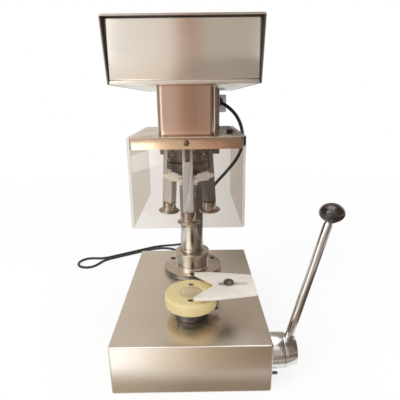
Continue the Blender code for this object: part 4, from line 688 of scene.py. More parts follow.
flange_steel = faced("flange_steel", ((0.56, 0.50, 0.44), 0.24, 1.0), (30, 4),
                     ((0.68, 0.60, 0.51), (0.58, 0.51, 0.44)), column_axis, 700, (0.18, 0.28), 0.10)
# The flange's upright outer wall gets a dark steel as painted shade.
flange_wall_painted_shade = chromed("flange_wall_painted_shade", (0.25, 0.235, 0.215), 0.24, (6, 6, 400))
screw_steel = mottled("screw_steel", ((0.11, 0.10, 0.095), 0.36, 1.0), (400, 4),
                      ((0.09, 0.085, 0.08), (0.20, 0.185, 0.17)), (700,), (0.28, 0.48), ((2500,), 0.10))
flange_low, flange_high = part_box("post_flange")
flange_bore = POST_RADIUS + CLEAR
flange = turned([(flange_bore, flange_low[2]), (FLANGE_RADIUS, flange_low[2]), (FLANGE_RADIUS, FLANGE_TOP),
                 (COLLAR_RADIUS + FLANGE_FILLET, FLANGE_TOP), (COLLAR_RADIUS, FLANGE_TOP + FLANGE_FILLET),
                 (COLLAR_RADIUS, flange_high[2]), (flange_bore, flange_high[2])], column_axis, FLANGE_EDGE)
screw_top = FLANGE_TOP - FLANGE_SCREW_SUNK
for number, angle in enumerate(FLANGE_SCREW_ANGLES, start=1):
    spot = column_axis @ Matrix.Translation((*on_circle(FLANGE_SCREW_CIRCLE, angle), 0))
    flange = cut_away(flange, plain_bar(FLANGE_SCREW_RADIUS + CLEAR, screw_top - FLANGE_SCREW_HEIGHT - CLEAR,
                                        FLANGE_TOP + OVERCUT, spot))
    screw = socket_screw(FLANGE_SCREW_RADIUS, FLANGE_SCREW_HEIGHT, FLANGE_SCREW_SHANK,
                         screw_top - FLANGE_SCREW_FOOT, spot @ Matrix.Translation((0, 0, screw_top)))
    make_piece(f"flange_socket_screw_{number}", screw, screw_steel, "frame", "dark_steel", f"flange_screw_{number}")
flange.normal_update()
# Faces of the flange's outer wall take the painted shade.
for face in flange.faces:
    out = face.calc_center_median() - column_axis.translation
    face.material_index = hypot(out.x, out.y) > FLANGE_RADIUS - FLANGE_EDGE and abs(face.normal.z) < 0.5
make_piece("column_flange", flange, flange_steel, "frame", "satin_steel", "post_flange", marked=flange_wall_painted_shade)

inner_steel = mottled("inner_steel", ((0.36, 0.36, 0.36), 0.42, 1.0), (60, 5),
                      ((0.30, 0.30, 0.30), (0.42, 0.42, 0.42)), (1, 3, (40, 900, 900)), (0.32, 0.52))
dress(inner_steel, "column_support_plate")

# Lift: a polished shaft in a blackened guide bush, with a rack on its front that runs in the bush's slot and that
# the lever's pinion drives. Its flange carries a disc of turned nylon on two sunk screws, whose hole walls are
# painted dark as shade, and a steel insert lies flush in the disc.
CAPPING_Y = -0.080
LEVER_Z = 0.035
BUSH_RADIUS = 0.025
BUSH_SPIGOT = 0.019
BUSH_EDGE = 0.0008
LIFT_RADIUS = 0.0125
LIFT_FLANGE_RADIUS = 0.028
LIFT_FLANGE_BASE = 0.0865
LIFT_EDGE = 0.0006
RACK_TEETH = 6
RACK_PITCH = 0.002 * pi
RACK_LOWEST = LEVER_Z - 4 * RACK_PITCH
RACK_ROOT_Y = -0.0155
RACK_TIP_Y = -0.0200
RACK_TOOTH = ((RACK_ROOT_Y, -0.0023), (RACK_TIP_Y, -0.0007), (RACK_TIP_Y, 0.0007), (RACK_ROOT_Y, 0.0023))
RACK_HALF_WIDTH = 0.006
RACK_SLOT_HALF = 0.0066
REST_RADIUS = 0.0393
REST_EDGE = 0.0032
REST_FINE_EDGE = 0.0002
INSERT_SEAT_RADIUS = 0.0168
INSERT_RADIUS = 0.0161
REST_SCREW_OFFSET = 0.0225
REST_SCREW_RADIUS = 0.0035
REST_SCREW_HEIGHT = 0.004
REST_SCREW_SHANK = 0.002
REST_SCREW_TOP = 0.105
REST_HOLE_MOUTH = 0.0012
REST_HOLE_CHAMFER = 0.0008
REST_HOLE_OVERCUT = 0.0005
HOLE_SHADE_REACH = 0.0008
HOLE_SHADE_DROP = 0.0012
SMALL_EDGE = 0.0004
YZ_PLANE = Matrix(((0, 0, 1, 0), (1, 0, 0, 0), (0, 1, 0, 0), (0, 0, 0, 1)))

capping_axis = Matrix.Translation((0, CAPPING_Y, 0))
bush_low, bush_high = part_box("lift_bush")
bush_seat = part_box("base_cover")[1][2] + CLEAR
bush = turned([(LIFT_RADIUS + CLEAR, bush_low[2]), (BUSH_SPIGOT, bush_low[2]), (BUSH_SPIGOT, bush_seat),
               (BUSH_RADIUS, bush_seat), (BUSH_RADIUS, bush_high[2]), (LIFT_RADIUS + CLEAR, bush_high[2])],
              capping_axis, BUSH_EDGE)
rack_slot = box_shape((-RACK_SLOT_HALF, CAPPING_Y - 2 * BUSH_SPIGOT, bush_low[2] - SHEET),
                      (RACK_SLOT_HALF, CAPPING_Y, bush_seat - CLEAR - SHEET))
make_piece("guide_bush", cut_away(bush, rack_slot), screw_steel, "frame", "dark_steel", "lift_bush")

lift_chrome = chromed("lift_chrome", (0.66, 0.64, 0.61), 0.14, (300, 300, 6))
shaft_low, shaft_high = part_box("lift_shaft")
shaft = turned([(0, shaft_low[2]), (LIFT_RADIUS, shaft_low[2]), (LIFT_RADIUS, LIFT_FLANGE_BASE),
                (LIFT_FLANGE_RADIUS, LIFT_FLANGE_BASE), (LIFT_FLANGE_RADIUS, shaft_high[2]), (0, shaft_high[2])],
               capping_axis, LIFT_EDGE)
rack_outline = [(0.0, RACK_LOWEST - RACK_PITCH / 2), (RACK_ROOT_Y, RACK_LOWEST - RACK_PITCH / 2)]
for tooth in range(RACK_TEETH):
    rack_outline += [(y, RACK_LOWEST + tooth * RACK_PITCH + up) for y, up in RACK_TOOTH]
rack_top = RACK_LOWEST + (RACK_TEETH - 0.5) * RACK_PITCH
rack_outline += [(RACK_ROOT_Y, rack_top), (0.0, rack_top)]
rack = prism(rack_outline, -RACK_HALF_WIDTH, RACK_HALF_WIDTH, capping_axis @ YZ_PLANE, 0.0)
make_piece("lift_shaft_and_rack", joined(shaft, rack), lift_chrome, "lift", "polished_steel", "lift_shaft")


def corner_arc(centre, radius, start, end, steps=6):
    """Points along an arc, both ends included, with its angles in degrees."""
    spots = [on_circle(radius, start + (end - start) * step / steps) for step in range(steps + 1)]
    return [(centre[0] + x, centre[1] + y) for x, y in spots]


nylon, tree, shader = new_material("nylon", (0.78, 0.66, 0.36), 0.42, Subsurface_Weight=0.12,
                                   Subsurface_Radius=(0.004, 0.003, 0.0015), Subsurface_Scale=1.0)
turning = rings(tree, capping_axis, 520, 0.8)
stains = blend_colours(tree, speckle(tree, 22, 5), (0.86, 0.715, 0.375), (0.78, 0.61, 0.285), 0.35, 0.75)
lines = blend_colours(tree, turning, (0.93, 0.92, 0.90), (1.0, 1.0, 1.0))
feed(tree, shader, Base_Color=multiplied(tree, stains, lines),
     Roughness=spread_value(tree, speckle(tree, 60, 4), 0.34, 0.52))
roughen(tree, shader, turning, 0.10, 0.0002)
rest_low, rest_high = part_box("bottle_rest")
insert_low, insert_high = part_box("rest_insert")
seat = insert_low[2] - CLEAR
rest_profile = [(0, seat), (INSERT_SEAT_RADIUS, seat), (INSERT_SEAT_RADIUS, rest_high[2])]
rest_profile += reversed(corner_arc((REST_RADIUS - REST_EDGE, rest_high[2] - REST_EDGE), REST_EDGE, 0, 90))
rest_profile += reversed(corner_arc((REST_RADIUS - REST_EDGE, rest_low[2] + REST_EDGE), REST_EDGE, -90, 0))
rest = turned(rest_profile + [(0, rest_low[2])], capping_axis, REST_FINE_EDGE)
hole_floor, hole_top = REST_SCREW_TOP - REST_SCREW_HEIGHT - CLEAR, rest_high[2] + REST_HOLE_OVERCUT
hole_profile = [(0, hole_floor), (REST_SCREW_RADIUS + CLEAR, hole_floor),
                (REST_SCREW_RADIUS + CLEAR, rest_high[2] - REST_HOLE_CHAMFER),
                (REST_SCREW_RADIUS + REST_HOLE_MOUTH, hole_top), (0, hole_top)]
for number, side in enumerate((-1, 1), start=1):
    spot = capping_axis @ Matrix.Translation((0, side * REST_SCREW_OFFSET, 0))
    rest = cut_away(rest, turned(hole_profile, spot, 0, BAR_STEPS))
    screw = socket_screw(REST_SCREW_RADIUS, REST_SCREW_HEIGHT, REST_SCREW_SHANK, REST_SCREW_TOP - LIFT_FLANGE_BASE,
                         spot @ Matrix.Translation((0, 0, REST_SCREW_TOP)))
    make_piece(f"rest_socket_screw_{number}", screw, screw_steel, "lift", "dark_steel", f"rest_screw_{number}")
# The walls of the screw holes are painted in dark steel as the shade inside them.
for face in rest.faces:
    middle = face.calc_center_median()
    from_screw = hypot(middle.x, abs(middle.y - CAPPING_Y) - REST_SCREW_OFFSET)
    face.material_index = from_screw < REST_SCREW_RADIUS + HOLE_SHADE_REACH and middle.z < rest_high[2] - HOLE_SHADE_DROP
make_piece("nylon_rest", rest, nylon, "lift", "cream_nylon", "bottle_rest", marked=inner_steel)

insert_steel = faced("insert_steel", ((0.78, 0.68, 0.50), 0.34, 0.7), (80, 5),
                     ((0.92, 0.79, 0.55), (0.80, 0.67, 0.45)), capping_axis, 900, (0.28, 0.40), 0.12)
insert = plain_bar(INSERT_RADIUS, insert_low[2], insert_high[2], capping_axis, SMALL_EDGE, TURN_STEPS)
make_piece("rest_centre", insert, insert_steel, "lift", "satin_steel", "rest_insert")

# Locator: a plate of white plastic with a V notch that holds the bottle central. It slides on a bent steel
# bracket under the rest, and a hexagon bolt through its slot clamps it.
LOCATOR_TIP = 0.005
LOCATOR_SHOULDER = 0.032
LOCATOR_END = 0.0945
LOCATOR_HALF = 0.038
LOCATOR_END_HALF = 0.027
LOCATOR_EDGE = 0.0006
NOTCH_MOUTH = 0.034
NOTCH_VERTEX = 0.037
NOTCH_FILLET = 0.009
SLOT_START = 0.041
SLOT_END = 0.084
SLOT_STEPS = 12
BOLT_X = 0.056
BOLT_RADIUS = 0.004
BOLT_HEAD_RADIUS = 0.0075
CROWN_RADIUS = 0.0058
CROWN_FOOT_RADIUS = 0.0078
CROWN_DROP = 0.0012
NUT_HEIGHT = 0.0065
EMBED = 0.0005
CUTTER_REACH = 0.02
BRACKET_HALF_WIDTH = 0.0175
BRACKET_NECK = 0.030
BRACKET_LEG = 0.0396
BRACKET_LEG_HALF = 0.010
BRACKET_SHEET = 0.003
BRACKET_EDGE = 0.0007
XZ_PLANE = Matrix(((1, 0, 0, 0), (0, 0, -1, 0), (0, 1, 0, 0), (0, 0, 0, 1)))


def drill(radius, low, high, place):
    """A bar that makes a hole from one height to another, and a little beyond both."""
    return plain_bar(radius, low - OVERCUT, high + OVERCUT, place)


plate_low, plate_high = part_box("locator_plate")
notch_slope = atan2(NOTCH_MOUTH, NOTCH_VERTEX - LOCATOR_TIP)
turn = 90 - 180 * notch_slope / pi
notch = corner_arc((NOTCH_VERTEX - NOTCH_FILLET / sin(notch_slope), 0), NOTCH_FILLET, turn, -turn)
locator_outline = [(LOCATOR_TIP, -NOTCH_MOUTH), (LOCATOR_TIP, -LOCATOR_HALF), (LOCATOR_SHOULDER, -LOCATOR_HALF),
                   (LOCATOR_END, -LOCATOR_END_HALF), (LOCATOR_END, LOCATOR_END_HALF),
                   (LOCATOR_SHOULDER, LOCATOR_HALF), (LOCATOR_TIP, LOCATOR_HALF), (LOCATOR_TIP, NOTCH_MOUTH), *notch]
slot_half = BOLT_RADIUS + CLEAR
slot_outline = (corner_arc((SLOT_END - slot_half, 0), slot_half, -90, 90, SLOT_STEPS)
                + corner_arc((SLOT_START + slot_half, 0), slot_half, 90, 270, SLOT_STEPS))
plate = cut_away(prism(locator_outline, plate_low[2], plate_high[2], capping_axis, LOCATOR_EDGE, 3),
                 prism(slot_outline, plate_low[2] - OVERCUT, plate_high[2] + OVERCUT, capping_axis, 0))
white_plastic = moulded("white_plastic", (0.80, 0.755, 0.67), (0.86, 0.82, 0.745), 0.40, 700)
make_piece("notched_plate", plate, white_plastic, "locator", "white_plastic", "locator_plate")

bolt_place = Matrix.Translation((BOLT_X, CAPPING_Y, 0))
bolt_low, bolt_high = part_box("locator_bolt")
head_base, head_top = plate_high[2] + CLEAR, bolt_high[2]
crown = turned([(CROWN_FOOT_RADIUS, head_base - OVERCUT), (CUTTER_REACH, head_base - OVERCUT),
                (CUTTER_REACH, head_top + OVERCUT), (CROWN_RADIUS, head_top + OVERCUT), (CROWN_RADIUS, head_top),
                (CROWN_FOOT_RADIUS, head_top - CROWN_DROP)], edge=0)
bolt = joined(cut_away(prism(hexagon(BOLT_HEAD_RADIUS), head_base, head_top, edge=0.0), crown),
              plain_bar(BOLT_RADIUS, bolt_low[2], head_base + EMBED, edge=SMALL_EDGE),
              prism(hexagon(BOLT_HEAD_RADIUS), bolt_low[2] + CLEAR, bolt_low[2] + NUT_HEIGHT + CLEAR, edge=SMALL_EDGE))
bolt_steel = mottled("bolt_steel", ((0.22, 0.20, 0.18), 0.34, 1.0), (260, 4),
                     ((0.15, 0.138, 0.125), (0.28, 0.26, 0.235)), (600,), (0.26, 0.46))
make_piece("clamping_bolt", moved(bolt, bolt_place), bolt_steel, "lift", "dark_steel", "locator_bolt")

bracket_low, bracket_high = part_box("locator_bracket")
shelf_base = bracket_high[2] - BRACKET_SHEET
foot_top = bracket_low[2] + BRACKET_SHEET
leg_out = BRACKET_LEG + BRACKET_SHEET
bracket_outline = [(bracket_low[0], bracket_low[2]), (leg_out, bracket_low[2]), (leg_out, shelf_base),
                   (bracket_high[0], shelf_base), (bracket_high[0], bracket_high[2]), (BRACKET_LEG, bracket_high[2]),
                   (BRACKET_LEG, foot_top), (bracket_low[0], foot_top)]
bracket = prism(bracket_outline, -BRACKET_HALF_WIDTH, BRACKET_HALF_WIDTH, capping_axis @ XZ_PLANE, BRACKET_EDGE)
leg_sides = [box_shape((BRACKET_NECK, CAPPING_Y + low, bracket_low[2] - OVERCUT),
                       (leg_out + OVERCUT, CAPPING_Y + high, shelf_base))
             for low, high in ((-CUTTER_REACH, -BRACKET_LEG_HALF), (BRACKET_LEG_HALF, CUTTER_REACH))]
bracket = cut_away(bracket, drill(LIFT_RADIUS + CLEAR, bracket_low[2], foot_top, capping_axis),
                   drill(BOLT_RADIUS + CLEAR, shelf_base, bracket_high[2], bolt_place), *leg_sides)
bracket_steel = brushed_sheet("bracket_steel", "Y", (0.60, 0.57, 0.53), (0.52, 0.48, 0.44), 0.26)
make_piece("bent_bracket", bracket, bracket_steel, "lift", "satin_steel", "locator_bracket")

# Lever: a chromed boss screwed to the right wall carries a shaft, on which a tapered hub holds a chromed rod with
# a glossy oval knob. Inside the base the shaft bears the pinion. An earth stud with its nut sits below the boss.
LEVER_Y = -0.116
SHAFT_RADIUS = 0.008
BOSS_RADIUS = 0.025
BOSS_EDGE = 0.0007
HUB_END_RADIUS = 0.020
HUB_EDGE = 0.0010
ROD_RADIUS = 0.006
ROD_LENGTH = 0.199
ROD_NECK = 0.016
ROD_NECK_TAPER = 0.001
ROD_NECK_RADIUS = 0.0052
ROD_ROOT = (0.1376, LEVER_Y, 0.0473)
ROD_LEAN_OUT = radians(15.5)
ROD_LEAN_BACK = radians(3.85)
ROD_HOLE = (0.001, 0.05)
ROD_STEPS = 64
KNOB_RADIUS = 0.0169
KNOB_HALF = 0.013
KNOB_FOOT = ((0, 0), (0.0062, 0), (0.0070, 0.0010))
KNOB_START = -62
KNOB_STEPS = 28
STUD_Y = -0.132
STUD_Z = 0.0085
STUD_RADIUS = 0.0025
STUD_TIP_RADIUS = 0.0020
STUD_NUT_RADIUS = 0.0046
STUD_NUT_HEIGHT = 0.004
THREADS = 8
THREAD_START = 0.0045
THREAD_PITCH = 0.0009
THREAD_DEPTH = 0.0004

lever_axis = Matrix.Translation((0, LEVER_Y, LEVER_Z)) @ ALONG_X
lever_chrome = chromed("lever_chrome", (0.80, 0.79, 0.77), 0.21, (5, 260, 260))
boss_low, boss_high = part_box("lever_boss")
boss = tube(SHAFT_RADIUS + CLEAR, BOSS_RADIUS, boss_low[0], boss_high[0], lever_axis, BOSS_EDGE)
make_piece("boss", boss, lever_chrome, "frame", "polished_steel", "lever_boss")
hub_low, hub_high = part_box("lever_hub")
lever_way = Vector((tan(ROD_LEAN_OUT), tan(ROD_LEAN_BACK), 1)).normalized()
rod_place = (Matrix.Translation(ROD_ROOT)
             @ Vector((0, 0, 1)).rotation_difference(lever_way).to_matrix().to_4x4())
hub = turned([(0, hub_low[0]), (BOSS_RADIUS, hub_low[0]), (HUB_END_RADIUS, hub_high[0]), (0, hub_high[0])],
             lever_axis, HUB_EDGE)
hub = cut_away(hub, plain_bar(ROD_RADIUS + CLEAR, *ROD_HOLE, rod_place))
make_piece("tapered_hub", hub, lever_chrome, "lever", "polished_steel", "lever_hub")
rod_chrome = chromed("rod_chrome", (0.70, 0.67, 0.64), 0.15, (260, 260, 5))
rod_neck = ROD_LENGTH - ROD_NECK
rod = turned([(0, 0), (ROD_RADIUS, 0), (ROD_RADIUS, rod_neck), (ROD_NECK_RADIUS, rod_neck + ROD_NECK_TAPER),
              (ROD_NECK_RADIUS, ROD_LENGTH), (0, ROD_LENGTH)], rod_place, FINE_EDGE, ROD_STEPS)
make_piece("rod", rod, rod_chrome, "lever", "polished_steel", "lever_rod")

knob_profile = [(radius, up - KNOB_HALF) for radius, up in KNOB_FOOT]
knob_profile += [(KNOB_RADIUS * x, KNOB_HALF * z) for x, z in corner_arc((0, 0), 1, KNOB_START, 90, KNOB_STEPS)]
knob_profile[-1] = (0, KNOB_HALF)
knob_plastic = mottled("knob_plastic", ((0.020, 0.012, 0.009), 0.16), (60, 5),
                       ((0.014, 0.009, 0.007), (0.036, 0.022, 0.016)), (150, 4), (0.12, 0.26), Coat_Weight=0.6,
                       Coat_Roughness=0.06)
knob = turned(knob_profile, Matrix.Translation(rod_place @ Vector((0, 0, ROD_LENGTH))), SMALL_EDGE)
make_piece("oval_knob", knob, knob_plastic, "lever", "black_plastic", "lever_knob")

stud_axis = Matrix.Translation((0, STUD_Y, STUD_Z)) @ ALONG_X
stud_low, stud_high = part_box("earth_stud")
wall_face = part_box("base_cover")[1][0]
stud_profile = [(0, stud_low[0]), (STUD_RADIUS, stud_low[0])]
for thread in range(THREADS):
    groove = wall_face + THREAD_START + THREAD_PITCH * thread
    stud_profile += [(STUD_RADIUS - THREAD_DEPTH, groove), (STUD_RADIUS, groove + THREAD_PITCH / 2)]
stud_profile += [(STUD_TIP_RADIUS, stud_high[0]), (0, stud_high[0])]
nut_base = wall_face + CLEAR
stud = joined(turned(stud_profile, stud_axis, 0.0, PIN_STEPS),
              prism(hexagon(STUD_NUT_RADIUS), nut_base, nut_base + STUD_NUT_HEIGHT, stud_axis, SMALL_EDGE))
make_piece("threaded_stud", stud, inner_steel, "frame", "dark_steel", "earth_stud")
dress(lever_chrome, "lever_shaft")
dress(inner_steel, "lever_pinion", "shaft_support")

# Head frame: a flat steel arm plate carries a folded belt cover, with a panel set back in its open front. The
# cover's inside, within a thin bright rim, is painted dark as shade in the recess. Below hang a neck round the
# spindle and a housing round the column, all in brushed sheet.
COVER_LEAN = 0.015
COVER_FOLD = 0.0026
COVER_RIM = 0.0009
COVER_SKIN = 0.0015
PANEL_LEAN = 0.009
PLATE_EDGE = 0.0006
NECK_CORNER = 0.008
NECK_SHEET = 0.0015
HOUSING_CORNER = 0.004
HOUSING_FOLD = 0.0018
SPINDLE_HOLE = 0.0115
MOTOR_Y = 0.150
MOTOR_SHAFT_HOLE = 0.0073
TOP_SIDE = (0, 0, 1)

motor_axis = Matrix.Translation((0, MOTOR_Y, 0))
arm_steel = brushed_sheet("arm_steel", "Y", (0.80, 0.75, 0.68), (0.74, 0.67, 0.60), 0.30)
arm_low, arm_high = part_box("arm_plate")
arm_plate = box_shape(arm_low, arm_high)
round_edges(arm_plate, PLATE_EDGE)
arm_plate = cut_away(arm_plate, drill(SPINDLE_HOLE, arm_low[2], arm_high[2], capping_axis),
                     drill(MOTOR_SHAFT_HOLE, arm_low[2], arm_high[2], motor_axis))
make_piece("carrying_plate", arm_plate, arm_steel, "frame", "satin_steel", "arm_plate")

# The cover's inside is painted near-black as the shade that falls in its recess.
recess_shade_steel = mottled("recess_shade_steel", ((0.055, 0.042, 0.036), 0.62, 0.4), (40, 5),
                      ((0.040, 0.030, 0.026), (0.085, 0.066, 0.056)), (90, 4), (0.5, 0.75))
cover_steel = brushed_sheet("cover_steel", "Y", (0.70, 0.64, 0.58), (0.62, 0.55, 0.49), 0.22)
cover_low, cover_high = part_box("top_cover")
cover = box_shape((cover_low[0], cover_low[1] + COVER_LEAN, cover_low[2]), cover_high)
overhang = [corner for corner in cover.verts if corner.co.y < 0 and corner.co.z > cover_high[2] - SHEET]
bmesh.ops.translate(cover, vec=(0, -COVER_LEAN, 0), verts=overhang)
cover.normal_update()
cover = folded_sheet(cover, SHEET, COVER_FOLD, (FRONT_SIDE, UNDERSIDE))
rim_x = cover_high[0] - COVER_RIM
for cut_x in (-rim_x, rim_x):
    bmesh.ops.bisect_plane(cover, geom=cover.verts[:] + cover.edges[:] + cover.faces[:], dist=MERGE,
                           plane_co=(cut_x, 0, 0), plane_no=(1, 0, 0))
# Faces inside the rim take the painted shade; the rim and the outer skin stay bright steel.
for face in cover.faces:
    middle = face.calc_center_median()
    skin = min(cover_high[1] - middle.y, cover_high[2] - middle.z)
    face.material_index = abs(middle.x) < rim_x and skin > COVER_SKIN
make_piece("belt_cover", cover, cover_steel, "frame", "satin_steel", "top_cover", marked=recess_shade_steel)

panel_steel = brushed_sheet("panel_steel", "X", (0.87, 0.83, 0.77), (0.82, 0.76, 0.69), 0.15)
panel_low, panel_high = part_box("front_panel")
panel_outline = [(panel_low[1] + PANEL_LEAN, panel_low[2]), (panel_high[1], panel_low[2]),
                 (panel_high[1] - PANEL_LEAN, panel_high[2]), (panel_low[1], panel_high[2])]
panel = prism(panel_outline, panel_low[0], panel_high[0], YZ_PLANE, PLATE_EDGE, 3)
make_piece("set_back_panel", panel, panel_steel, "frame", "satin_steel", "front_panel")

# The neck's stainless is tinted copper as a painted warm reflection.
neck_reflection_steel = brushed_sheet("neck_reflection_steel", "Z", (0.62, 0.455, 0.37), (0.56, 0.40, 0.32), 0.15)
neck = folded_sheet(box_shape(*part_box("neck_cover")), NECK_SHEET, 0, (TOP_SIDE, UNDERSIDE), NECK_CORNER)
make_piece("neck_shell", neck, neck_reflection_steel, "frame", "satin_steel", "neck_cover")

# The housing's sheet is darkened as painted shade behind the column.
housing_shade_steel = brushed_sheet("housing_shade_steel", "Z", (0.31, 0.245, 0.22), (0.25, 0.195, 0.175), 0.20)
housing_low, housing_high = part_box("rear_housing")
housing = folded_sheet(box_shape(housing_low, housing_high), SHEET, HOUSING_FOLD, (TOP_SIDE,), HOUSING_CORNER)
housing = cut_away(housing, drill(flange_bore, housing_low[2], housing_low[2] + SHEET, column_axis))
make_piece("column_housing", housing, housing_shade_steel, "frame", "satin_steel", "rear_housing")
dress(inner_steel, "column_clamp")

# Tray and guard: a folded steel tray under the neck with a hole for the spindle. A sheet of clear acrylic, tinted
# a little by age and painted darker towards its right as shade, is bent round it and held by a screw in front. A
# black knurled screw stands on the tray.
TRAY_SHEET = 0.0015
TRAY_FOLD = 0.0012
TRAY_CORNER = 0.003
TRAY_HOLE = 0.024
GUARD_WALL = 0.003
GUARD_BEND = 0.006
GUARD_BEND_STEPS = 8
GUARD_SCREW_RADIUS = 0.002
GUARD_SCREW_LENGTH = 0.009
GUARD_SCREW_HEAD = 0.0031
GUARD_SCREW_DOME = ((GUARD_SCREW_HEAD, 0.0008), (0.0026, 0.0015), (0.0018, 0.0019), (0, 0.0020))
GUARD_SCREW_EDGE = 0.0002
GUARD_SCREW_DROP = 0.007
SCREW_SLOT_LOW = (-0.0045, -0.00045, 0.0012)
SCREW_SLOT_HIGH = (0.0045, 0.00045, 0.004)
SCREW_SLOT_TURN = radians(35)
TRAY_SCREW_PLACE = (0.054, -0.094, 0.345)
TRAY_SCREW_RADIUS = 0.0041
TRAY_SCREW_LENGTH = 0.007
TRAY_SCREW_CAP = ((0, 0.0034), (0.0033, 0.0034), (0.0030, 0.0039), (0, 0.0039))
KNURLS = 24
KNURL_TOP = 0.0036
KNURL_SHAPE = ((0.0, TRAY_SCREW_RADIUS - 0.0004), (0.35, TRAY_SCREW_RADIUS), (0.65, TRAY_SCREW_RADIUS))

tray_steel = brushed_sheet("tray_steel", "X", (0.84, 0.76, 0.67), (0.76, 0.66, 0.55), 0.17)
tray_low, tray_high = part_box("tray")
tray = folded_sheet(box_shape(tray_low, tray_high), TRAY_SHEET, TRAY_FOLD, (UNDERSIDE,), TRAY_CORNER)
guard_low, guard_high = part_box("guard")
guard_screw_axis = Matrix.Translation((0, guard_low[1], tray_high[2] - GUARD_SCREW_DROP)) @ TOWARDS_FRONT
tray_screw_place = Matrix.Translation(TRAY_SCREW_PLACE)
screw_hole = GUARD_SCREW_RADIUS + CLEAR
tray = cut_away(tray, drill(TRAY_HOLE, tray_high[2] - TRAY_SHEET, tray_high[2], capping_axis),
                plain_bar(screw_hole, -GUARD_SCREW_LENGTH, OVERCUT, guard_screw_axis),
                drill(screw_hole, -TRAY_SHEET, 0, tray_screw_place))
make_piece("folded_tray", tray, tray_steel, "frame", "satin_steel", "tray")

outer_x, bend_x, bend_y = guard_high[0], guard_high[0] - GUARD_BEND, guard_low[1] + GUARD_BEND
inner_x, inner_bend = outer_x - GUARD_WALL, GUARD_BEND - GUARD_WALL
guard_outline = [(-outer_x, guard_high[1]), *corner_arc((-bend_x, bend_y), GUARD_BEND, 180, 270, GUARD_BEND_STEPS),
                 *corner_arc((bend_x, bend_y), GUARD_BEND, 270, 360, GUARD_BEND_STEPS), (outer_x, guard_high[1]),
                 (inner_x, guard_high[1]), *corner_arc((bend_x, bend_y), inner_bend, 360, 270, GUARD_BEND_STEPS),
                 *corner_arc((-bend_x, bend_y), inner_bend, 270, 180, GUARD_BEND_STEPS), (-inner_x, guard_high[1])]
guard = cut_away(prism(guard_outline, guard_low[2], guard_high[2], edge=SMALL_EDGE),
                 plain_bar(screw_hole, -GUARD_SCREW_LENGTH, OVERCUT, guard_screw_axis))
acrylic, tree, shader = new_material("acrylic", (0.86, 0.82, 0.78), 0.03, Transmission_Weight=1.0, IOR=1.01,
                                     Coat_Weight=1.0, Coat_IOR=1.49, Coat_Roughness=0.03)
smears = blend_colours(tree, speckle(tree, 14, 5), (1.0, 1.0, 1.0), (0.94, 0.93, 0.92))
across = add_node(tree, "SeparateXYZ", {0: own_place(tree)})
to_right = add_node(tree, "MapRange", {"Value": across.outputs["X"], "From Min": guard_low[0], "From Max": outer_x})
# The guard's colour darkens from left to right as painted shade.
painted_right_shade = blend_colours(tree, to_right.outputs["Result"], (0.87, 0.83, 0.79), (0.49, 0.44, 0.41), 0.25, 0.95)
feed(tree, shader, Base_Color=multiplied(tree, painted_right_shade, smears),
     Roughness=spread_value(tree, speckle(tree, 60, 6), 0.01, 0.07))
roughen(tree, shader, speckle(tree, 9, 2), 0.10, 0.0006)
path = add_node(tree, "LightPath")
pane = add_node(tree, "BsdfTransparent", {"Color": (0.86, 0.83, 0.80, 1)})
surface = shader
for ray in ("Is Glossy Ray", "Is Shadow Ray"):
    surface = add_node(tree, "MixShader", {0: path.outputs[ray], 1: surface.outputs[0], 2: pane.outputs[0]})
show(tree, surface)
make_piece("bent_guard", guard, acrylic, "frame", "clear_plastic", "guard")

screw_end = CLEAR - GUARD_SCREW_LENGTH
screw = turned([(0, screw_end), (GUARD_SCREW_RADIUS, screw_end), (GUARD_SCREW_RADIUS, CLEAR),
                (GUARD_SCREW_HEAD, CLEAR), *GUARD_SCREW_DOME], edge=GUARD_SCREW_EDGE, steps=BAR_STEPS)
screw = moved(cut_away(screw, box_shape(SCREW_SLOT_LOW, SCREW_SLOT_HIGH)),
              guard_screw_axis @ Matrix.Rotation(SCREW_SLOT_TURN, 4, "Z"))
make_piece("slotted_screw", screw, screw_steel, "frame", "dark_steel", "guard_screw")


def toothed(count, steps):
    """An outline of like teeth round a circle, whose steps are shares of the pitch and radii."""
    return [on_circle(radius, 360 * (tooth + share) / count) for tooth in range(count) for share, radius in steps]


tray_screw = joined(prism(toothed(KNURLS, KNURL_SHAPE), CLEAR, KNURL_TOP, tray_screw_place, 0),
                    turned(TRAY_SCREW_CAP, tray_screw_place, 0, PIN_STEPS),
                    plain_bar(GUARD_SCREW_RADIUS, -TRAY_SCREW_LENGTH, CLEAR + EMBED, tray_screw_place))
make_piece("knurled_screw", tray_screw, plug_plastic, "frame", "black_plastic", "tray_screw")

# Drive: inside the cover a belt runs from the motor's pulley to the spindle's, and the spindle turns in two ball
# bearings in a steel tube. All of it is plain machined steel with a black rubber belt.
belt_rubber = moulded("belt_rubber", (0.014, 0.014, 0.014), (0.030, 0.029, 0.028), 0.62, 500)
dress(belt_rubber, "drive_belt")
dress(inner_steel, "spindle_housing", "spindle_pulley", "motor_pulley")
dress(lift_chrome, "bearing_upper", "bearing_lower", "spindle", "motor_shaft")

# Motor: hangs under the arm plate behind the column, with a finned aluminium body painted grey, a domed end bell
# and four tie rods. The paint is slightly orange-peeled and mottled in two tones.
MOTOR_RADIUS = 0.038
MOTOR_FINS = 40
FIN_ROOT_RADIUS = 0.0354
FIN_SHAPE = ((0.0, FIN_ROOT_RADIUS), (0.45, FIN_ROOT_RADIUS), (0.58, MOTOR_RADIUS), (0.87, MOTOR_RADIUS))
BELL_HEIGHT = 0.020
BELL_PROFILE = ((0, 0), (0.012, 0), (0.013, 0.002), (0.028, 0.002), (0.034, 0.0045), (0.0372, 0.010),
                (MOTOR_RADIUS, 0.016), (MOTOR_RADIUS, BELL_HEIGHT), (0, BELL_HEIGHT))
BELL_EDGE = 0.0006
MOTOR_FLANGE_HEIGHT = 0.010
MOTOR_FLANGE_EDGE = 0.0010
TIE_ROD_CIRCLE = 0.0255
TIE_ROD_ANGLES = (45, 135, 225, 315)
TIE_ROD_RADIUS = 0.0024
TIE_ROD_ENDS = (0.0008, 0.008)
TIE_ROD_STEPS = 24

